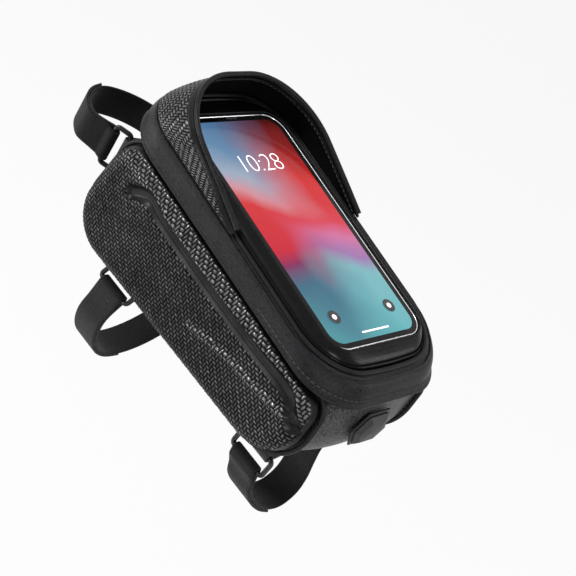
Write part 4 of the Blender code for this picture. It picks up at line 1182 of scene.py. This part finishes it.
def visor_rows(shares, columns):
    """The visor's outer face at shares of its height, and how far along it each column lies."""
    foot, lip = visor_lines()
    reach = reach_along((foot + lip) / 2)
    at = np.linspace(0, reach[-1], columns)
    foot, lip = read_at(foot, reach, at), read_at(lip, reach, at)
    tall = lip[:, 2] - foot[:, 2]
    rows = []
    for share in shares:
        row = mix(foot, lip, share)
        swell = VISOR_SWELL * 4 * share * (1 - share) * tall / (VISOR_LIP_HEIGHT + RIM_DROP)
        reach = np.hypot(row[:, 0], np.maximum(row[:, 1], 0.001))
        row[:, 0] += swell * row[:, 0] / reach
        row[:, 1] += swell * row[:, 1] / reach
        rows.append(row)
    return np.array(rows), at


def make_visor():
    shares = np.linspace(0, 1, VISOR_GRID[0])
    rows, along = visor_rows(shares, VISOR_GRID[1])
    out = -normals_of(rows)
    tall = np.linalg.norm(rows[-1] - rows[0], axis=1)
    height = shares[:, None] * tall
    edge = step(height, 0.0004, 0.0012) * step(tall - height, 0.0030, 0.0042)
    bars, chance = herringbone(np.broadcast_to(along, height.shape), height)
    bars = bars * edge
    hem = VISOR_HEM_RELIEF * step(height - tall + VISOR_HEM, 0, 0.0005)
    rows = rows + out * (BAR_RELIEF * bars + hem)[..., None]
    # The gleam field paints a highlight over the whole textured visor.
    fields = {"weave": bars + VISOR_SMOOTH_WEAVE * (1 - edge), "gleam": (chance + VISOR_GLEAM) * edge}
    mesh = grid_mesh("visor_cover", rows, flip=True, **fields)
    obj = add_piece("visor_cover", mesh, PRESSED, "lid", "visor_shell", LID)
    walled(obj, VISOR_WALL)
    coarse, _ = visor_rows(np.linspace(0, 1, LINING_GRID[0]), LINING_GRID[1])
    facing = -normals_of(coarse)
    inner = coarse - facing * (VISOR_WALL + FIT)
    lining = grid_mesh("visor_inner", inner, flip=True)
    obj = add_piece("visor_inner", lining, LINING, "lid", "visor_lining", LID)
    walled(obj, LINING_WALL)
    middle = (coarse - facing * (VISOR_WALL + LINING_WALL + FIT) / 2)[-1]
    middle = middle + (0, 0, BINDING_RADIUS + 3 * FIT)
    binding = tube_mesh("visor_edge", middle, BINDING_RADIUS, 12)
    add_piece("visor_edge", binding, TRIM, "lid", "visor_binding", LID)
    seam = coarse[-1] + facing[-1] * 0.0006 - (0, 0, 0.0016)
    under = inner[-2] - facing[-2] * 0.0006
    lines = (
        ("visor_stitches", seam, facing[-1], 0.00024),
        ("visor_inner_stitches", under, -facing[-2], 0.00022),
    )
    for name, line, away, radius in lines:
        stitches(name, line, away, "lid", length=0.0020, gap=0.0011, radius=radius, place=LID)


# Zip slider and cable port


def slider_frame():
    spot = Matrix.Translation((ZIP_HALF, SLIDER_REST, mouth_height(SLIDER_REST)))
    return spot @ Matrix.Rotation(math.atan(MOUTH_SLOPE), 4, "X")


def make_slider():
    """Bevels on the CAD slider's own form, and a pull with a ribbed grip."""
    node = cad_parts["zip_slider"]
    mesh = node.data.copy()
    made = bmesh.new()
    made.from_mesh(mesh)
    bmesh.ops.remove_doubles(made, verts=made.verts[:], dist=0.00001)
    bmesh.ops.dissolve_limit(made, angle_limit=0.01, verts=made.verts[:], edges=made.edges[:])
    made.to_mesh(mesh)
    made.free()
    mesh.materials.clear()
    mesh.name = "slider_body"
    body = add_piece("slider_body", mesh, DARK_METAL, "slider", "zip_slider")
    bevelled(body, 0.00008, 2)
    low, high = COIL_LOW - FIT / 2, COIL_UP + COIL_HEIGHT
    ahead = SLIDER_HALF - 0.0022 - FIT - PULL_HALF_WALL
    hinge = slider_frame() @ Matrix.Translation((0.0030, ahead, (low + high) / 2))
    outline = arc((-PULL_REACH, 0), PULL_HALF_WIDTH, 90, 270, 10)
    outline += arc((-PULL_HALF_WALL, 0), PULL_HALF_WIDTH, -60, 60, 6)
    outline = [(min(y, PULL_HALF_WALL), z) for y, z in outline]
    grip = prism("pull_tab", [outline], -PULL_HALF_WALL, PULL_HALF_WALL, 0.00025, 3)
    turn = Matrix(((0, 0, 1, 0), (1, 0, 0, 0), (0, 1, 0, 0), (0, 0, 0, 1)))
    add_piece("pull_tab", grip, RUBBER, "pull", "zip_pull", hinge @ turn)
    for i in range(PULL_RIBS):
        rib = prism(f"pull_rib_{i}", [rounded_box(0.0004, 0.0011, 0.00035)], 0.00055, 0.00075, 0.00008)
        spot = Matrix.Translation((-0.0150 - RIB_PITCH * i, 0, 0))
        add_piece(f"pull_rib_{i}", rib, RUBBER, "pull", place=hinge @ turn @ spot)


def make_port():
    face = -GUSSET_REAR - FIT
    outlines = [hexagon(*size) for size in (GROMMET_SIZE, PORT_HOLE)]
    grommet = upright(prism("port_frame", outlines, 0, GROMMET_WALL, 0.0003), face)
    add_piece("port_frame", grommet, RUBBER, "bag", "port_grommet")
    back = face - GROMMET_WALL - FIT
    half_width, half_height = CAP_SIZE
    steps = (
        (*CAP_PLUG, 0.0013 + FIT), (*CAP_PLUG, 0), (*CAP_SIZE, 0), (*CAP_SIZE, -0.0014),
        (half_width - 0.0028, half_height - 0.0028, -0.0034), (half_width * 0.35, 0.0004, -0.0042),
    )
    made = bmesh.new()
    rings = []
    for wide, tall, depth in steps:
        rings.append([made.verts.new((x, back + depth, z)) for x, z in hexagon(wide, tall)])
    join_rings(made, rings)
    close_ends(made, rings)
    mesh = finished_mesh("port_lid", made, 20)
    bevelled(add_piece("port_lid", mesh, RUBBER, "cap", "port_cap"), 0.0004, 3)


# Straps


def offset_path(path, distance):
    """A plane path moved sideways, to its left."""
    path = np.array(path, float)
    along = np.gradient(path, axis=0)
    along /= np.maximum(np.linalg.norm(along, axis=1, keepdims=True), 1e-9)
    return path + np.column_stack([-along[:, 1], along[:, 0]]) * distance


def band_strip(name, path, wall, to_row, outward, node, material):
    """A flat woven band along a plane path, with rounded selvedges."""
    path = resampled(np.column_stack([path, np.zeros(len(path))]), 2 * len(path))[:, :2]
    half, round_off = STRAP_WIDTH / 2, wall / 2
    section = [(w, wall / 2) for w in np.linspace(-half + round_off, half - round_off, 13)]
    section += arc((half - round_off, 0), round_off, 90, -90, 6)[1:-1]
    section += [(w, -wall / 2) for w, _ in section[12::-1]]
    section += arc((-half + round_off, 0), round_off, 270, 90, 6)[1:-1]
    shell = [offset_path(path, offset * outward) for _, offset in section]
    made = bmesh.new()
    side = made.verts.layers.float.new("side")
    across = made.verts.layers.float.new("across")
    grid = []
    for i in range(len(path)):
        ring = []
        for line, (w, offset) in zip(shell, section):
            vertex = made.verts.new(to_row(*line[i], w))
            vertex[side] = 1.0 if offset > 0.2 * wall else 0.0
            vertex[across] = w
            ring.append(vertex)
        grid.append(ring)
    join_rings(made, grid)
    close_ends(made, grid)
    obj = add_piece(name, finished_mesh(name, made, 60), material, "bag", node)


def make_ring(name, upper, lower, to_row, node):
    reach = math.hypot(lower[0] - upper[0], lower[1] - upper[1]) / 2
    loop = rounded_box(RING_LENGTH / 2, reach, RING_CORNER)[::3]
    middle = mix(np.array(upper), np.array(lower), 0.5)
    way = (np.array(upper) - np.array(lower)) / (2 * reach)
    points = [to_row(*(middle + way * b), a) for a, b in loop]
    mesh = tube_mesh(name, points, RING_BAR_RADIUS, 12, cyclic=True)
    add_piece(name, mesh, PLASTIC, "bag", node)


def make_strap(prefix, loop, upper_bar, lower_bar, tab_end, tail, to_row):
    """One cinch strap: sewn on the right, through the ring on the left, folded back on itself."""
    strap_radius = RING_BAR_RADIUS + FIT + STRAP_WALL / 2
    tab_radius = RING_BAR_RADIUS + FIT + TAB_WALL / 2
    inner = smooth_path([*loop, (lower_bar[0] + strap_radius, lower_bar[1] + STRAP_RISE)], 9)
    turn = arc(lower_bar, strap_radius, 0, -180, 18)
    outer = [tuple(p) for p in offset_path(inner, -(STRAP_WALL + STRAP_PLY_GAP))[::-1]]
    start = (lower_bar[0] - strap_radius, lower_bar[1] + STRAP_RISE)
    folded = smooth_path([start, *outer[6 : 6 + 3 * tail : 6]], 6)
    path = inner + turn[1:] + folded
    ring = prefix + "_ring"
    band_strip(prefix + "_band", path, STRAP_WALL, to_row, -1, prefix + "_strap", STRAP)
    make_ring(ring, upper_bar, lower_bar, to_row, prefix + "_strap_ring")
    top = upper_bar[1] - tab_radius
    under = upper_bar[1] + tab_radius
    bend = arc(upper_bar, tab_radius, 270, 90, 18)
    back = [(mix(upper_bar[0], tab_end, 0.45), mix(top, under, 0.72)), (tab_end, top + TAB_WALL + 0.0004)]
    back = smooth_path([bend[-1], *back], 8)[1:]
    path = straight((tab_end + 0.002, top), bend[0], 10)[:-1] + bend + back
    band_strip(prefix + "_tab", path, TAB_WALL, to_row, 1, ring + "_tab", TAPE)


def under_base(y, lean):
    """Maps a strap's plane to one across the bag below its base, leaning along Y."""
    return lambda u, v, w: (u, y + w + lean * v, PAD_THICKNESS - v)


def before_front(height, lean):
    """Maps a strap's plane to a level one in front of the front wall, leaning along Z."""
    return lambda u, v, w: (u, GUSSET_FRONT + FIT + v, height + w + lean * v)


SEWN = STRAP_WALL / 2
MIDDLE_LOOP = [
    (0.016, SEWN), (0.031, SEWN), (0.040, 0.0060), (0.0425, 0.0180), (0.040, 0.0340), (0.034, 0.0500),
    (0.0215, 0.0640), (0.005, 0.0715), (-0.011, 0.0710), (-0.0245, 0.0625), (-0.035, 0.0480),
    (-0.0395, 0.0310),
]
REAR_LOOP = [
    (0.034, SEWN), (0.022, 0.0020), (0.0145, 0.0080), (0.0145, 0.0190), (0.0160, 0.0320), (0.0140, 0.0430),
    (0.006, 0.0500), (-0.005, 0.0500), (-0.0165, 0.0445), (-0.0275, 0.0355), (-0.0345, 0.0255),
]
FRONT_LOOP = [
    (0.040, SEWN), (0.031, 0.0016), (0.023, 0.0095), (0.0135, 0.0225), (0.003, 0.0335), (-0.009, 0.0410),
    (-0.0205, 0.0440), (-0.031, 0.0400), (-0.0375, 0.0320), (-0.0385, 0.0240),
]


def make_straps():
    upper = (-0.0340, RING_BAR_RADIUS + FIT + TAB_WALL)
    lower = (upper[0] - 0.0045, upper[1] + RING_REACH)
    make_strap("middle", MIDDLE_LOOP, upper, lower, -0.016, 14, under_base(0.0582, 0.14))
    make_strap("rear", REAR_LOOP, upper, lower, -0.016, 12, under_base(-0.0700, -0.115))
    front_upper = (-0.0270, upper[1])
    front_lower = (front_upper[0] - 0.0060, front_upper[1] + RING_REACH - 0.0010)
    make_strap("front", FRONT_LOOP, front_upper, front_lower, -0.012, 12, before_front(0.0481, 0.14))


def make_hinge_cloth():
    """The lid's cloth hinge, cut into thin strips by level planes."""
    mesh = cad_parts["lid_hinge_tape"].data.copy()
    mesh.name = "hinge_cloth"
    heights = [vertex.co.z for vertex in mesh.vertices]
    low, high = min(heights), max(heights)
    made = bmesh.new()
    made.from_mesh(mesh)
    for height in np.linspace(low, high, HINGE_STRIPS + 1)[1:-1]:
        whole = made.verts[:] + made.edges[:] + made.faces[:]
        bmesh.ops.bisect_plane(made, geom=whole, plane_co=(0, 0, height), plane_no=(0, 0, 1))
    made.to_mesh(mesh)
    made.free()
    mesh.materials.clear()
    mesh.materials.append(TAPE)
    obj = bpy.data.objects.new("hinge_cloth", mesh)
    bpy.context.scene.collection.objects.link(obj)
    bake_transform(obj)
    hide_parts("lid_hinge_tape")


def finish_plain_nodes():
    """The cloth of the phone pocket, which keeps its CAD mesh."""
    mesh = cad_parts["phone_pocket"].data
    mesh.materials.clear()
    mesh.materials.append(POCKET)


# Studio


WHITE = (1, 1, 1, 1)
FILL_LIGHT = 0.20
LOOKED_AT = Vector((0, 0, 0.04))
FLOOR_HEIGHT = -0.30
FLOOR_HALF = 6.0


def make_studio():
    """The photograph's camera, the lamps and a white backdrop."""
    scene = bpy.context.scene
    camera = bpy.data.objects.new("camera", bpy.data.cameras.new("camera"))
    scene.collection.objects.link(camera)
    camera.data.lens = 93.75
    camera.data.sensor_width = 36.0
    camera.data.clip_end = 20.0
    camera.location = (-0.61906, -0.34659, 0.49038)
    camera.rotation_euler = [math.radians(a) for a in (53.401, -28.244, -42.370)]
    scene.camera = camera
    scene.view_settings.view_transform = "Standard"

    world = bpy.data.worlds.new("studio")
    scene.world = world
    world.use_nodes = True
    tree = world.node_tree
    background = tree.nodes["Background"]
    path = tree.nodes.new("ShaderNodeLightPath")
    seen = path.outputs["Is Camera Ray"]
    for kind in ("Is Transmission Ray", "Is Glossy Ray"):
        larger = tree.nodes.new("ShaderNodeMath")
        larger.operation = "MAXIMUM"
        tree.links.new(seen, larger.inputs[0])
        tree.links.new(path.outputs[kind], larger.inputs[1])
        seen = larger.outputs[0]
    level = tree.nodes.new("ShaderNodeMapRange")
    level.inputs["To Min"].default_value = FILL_LIGHT
    level.inputs["To Max"].default_value = 1.0
    tree.links.new(seen, level.inputs["Value"])
    tree.links.new(level.outputs[0], background.inputs["Strength"])
    background.inputs["Color"].default_value = WHITE

    # Name, place, size in metres and power in watts
    lamps = (
        ("key_light", (-0.62, 0.66, 0.95), 0.30, 12.0),
        ("rear_light", (-0.55, -1.05, 0.35), 0.30, 6.0),
        ("right_light", (0.85, -0.80, 0.55), 0.50, 4.0),
        ("low_light", (-0.80, 0.36, -0.24), 0.30, 2.5),
        ("front_light", (-0.44, 0.72, -0.15), 0.24, 2.5),
    )
    for name, spot, size, power in lamps:
        light = bpy.data.lights.new(name, "AREA")
        light.energy = power
        light.size = size
        lamp = bpy.data.objects.new(name, light)
        lamp.location = spot
        lamp.rotation_euler = (LOOKED_AT - Vector(spot)).to_track_quat("-Z", "Y").to_euler()
        lamp.visible_camera = False
        scene.collection.objects.link(lamp)

    floor_mesh = bpy.data.meshes.new("floor")
    made = bmesh.new()
    bmesh.ops.create_grid(made, x_segments=1, y_segments=1, size=FLOOR_HALF)
    made.to_mesh(floor_mesh)
    made.free()
    floor = bpy.data.objects.new("floor", floor_mesh)
    floor.location.z = FLOOR_HEIGHT
    scene.collection.objects.link(floor)
    paper = Shader("backdrop_paper", (0.9, 0.9, 0.9), 0.9)
    path = paper.add("ShaderNodeLightPath")
    shown = paper.math("MAXIMUM", path.outputs["Is Camera Ray"], path.outputs["Is Glossy Ray"])
    white = paper.add("ShaderNodeEmission")
    white.inputs["Color"].default_value = WHITE
    blend = paper.add("ShaderNodeMixShader")
    inputs = (paper.math("MULTIPLY", shown, 0.9), paper.surface.outputs[0], white.outputs[0])
    for socket, value in zip(blend.inputs, inputs):
        paper.put(socket, value)
    paper.put(paper.tree.nodes["Material Output"].inputs["Surface"], blend.outputs[0])
    floor_mesh.materials.append(paper.material)


make_studio()
for panel, direction in (("left_panel", -1), ("right_panel", 1)):
    make_side_panel(panel, direction)
make_gusset()
make_seams()
make_base()
make_zip()
make_band()
make_rim()
make_border()
make_phone()
make_visor()
make_slider()
make_port()
make_straps()
make_hinge_cloth()
finish_plain_nodes()

bpy.context.view_layer.update()
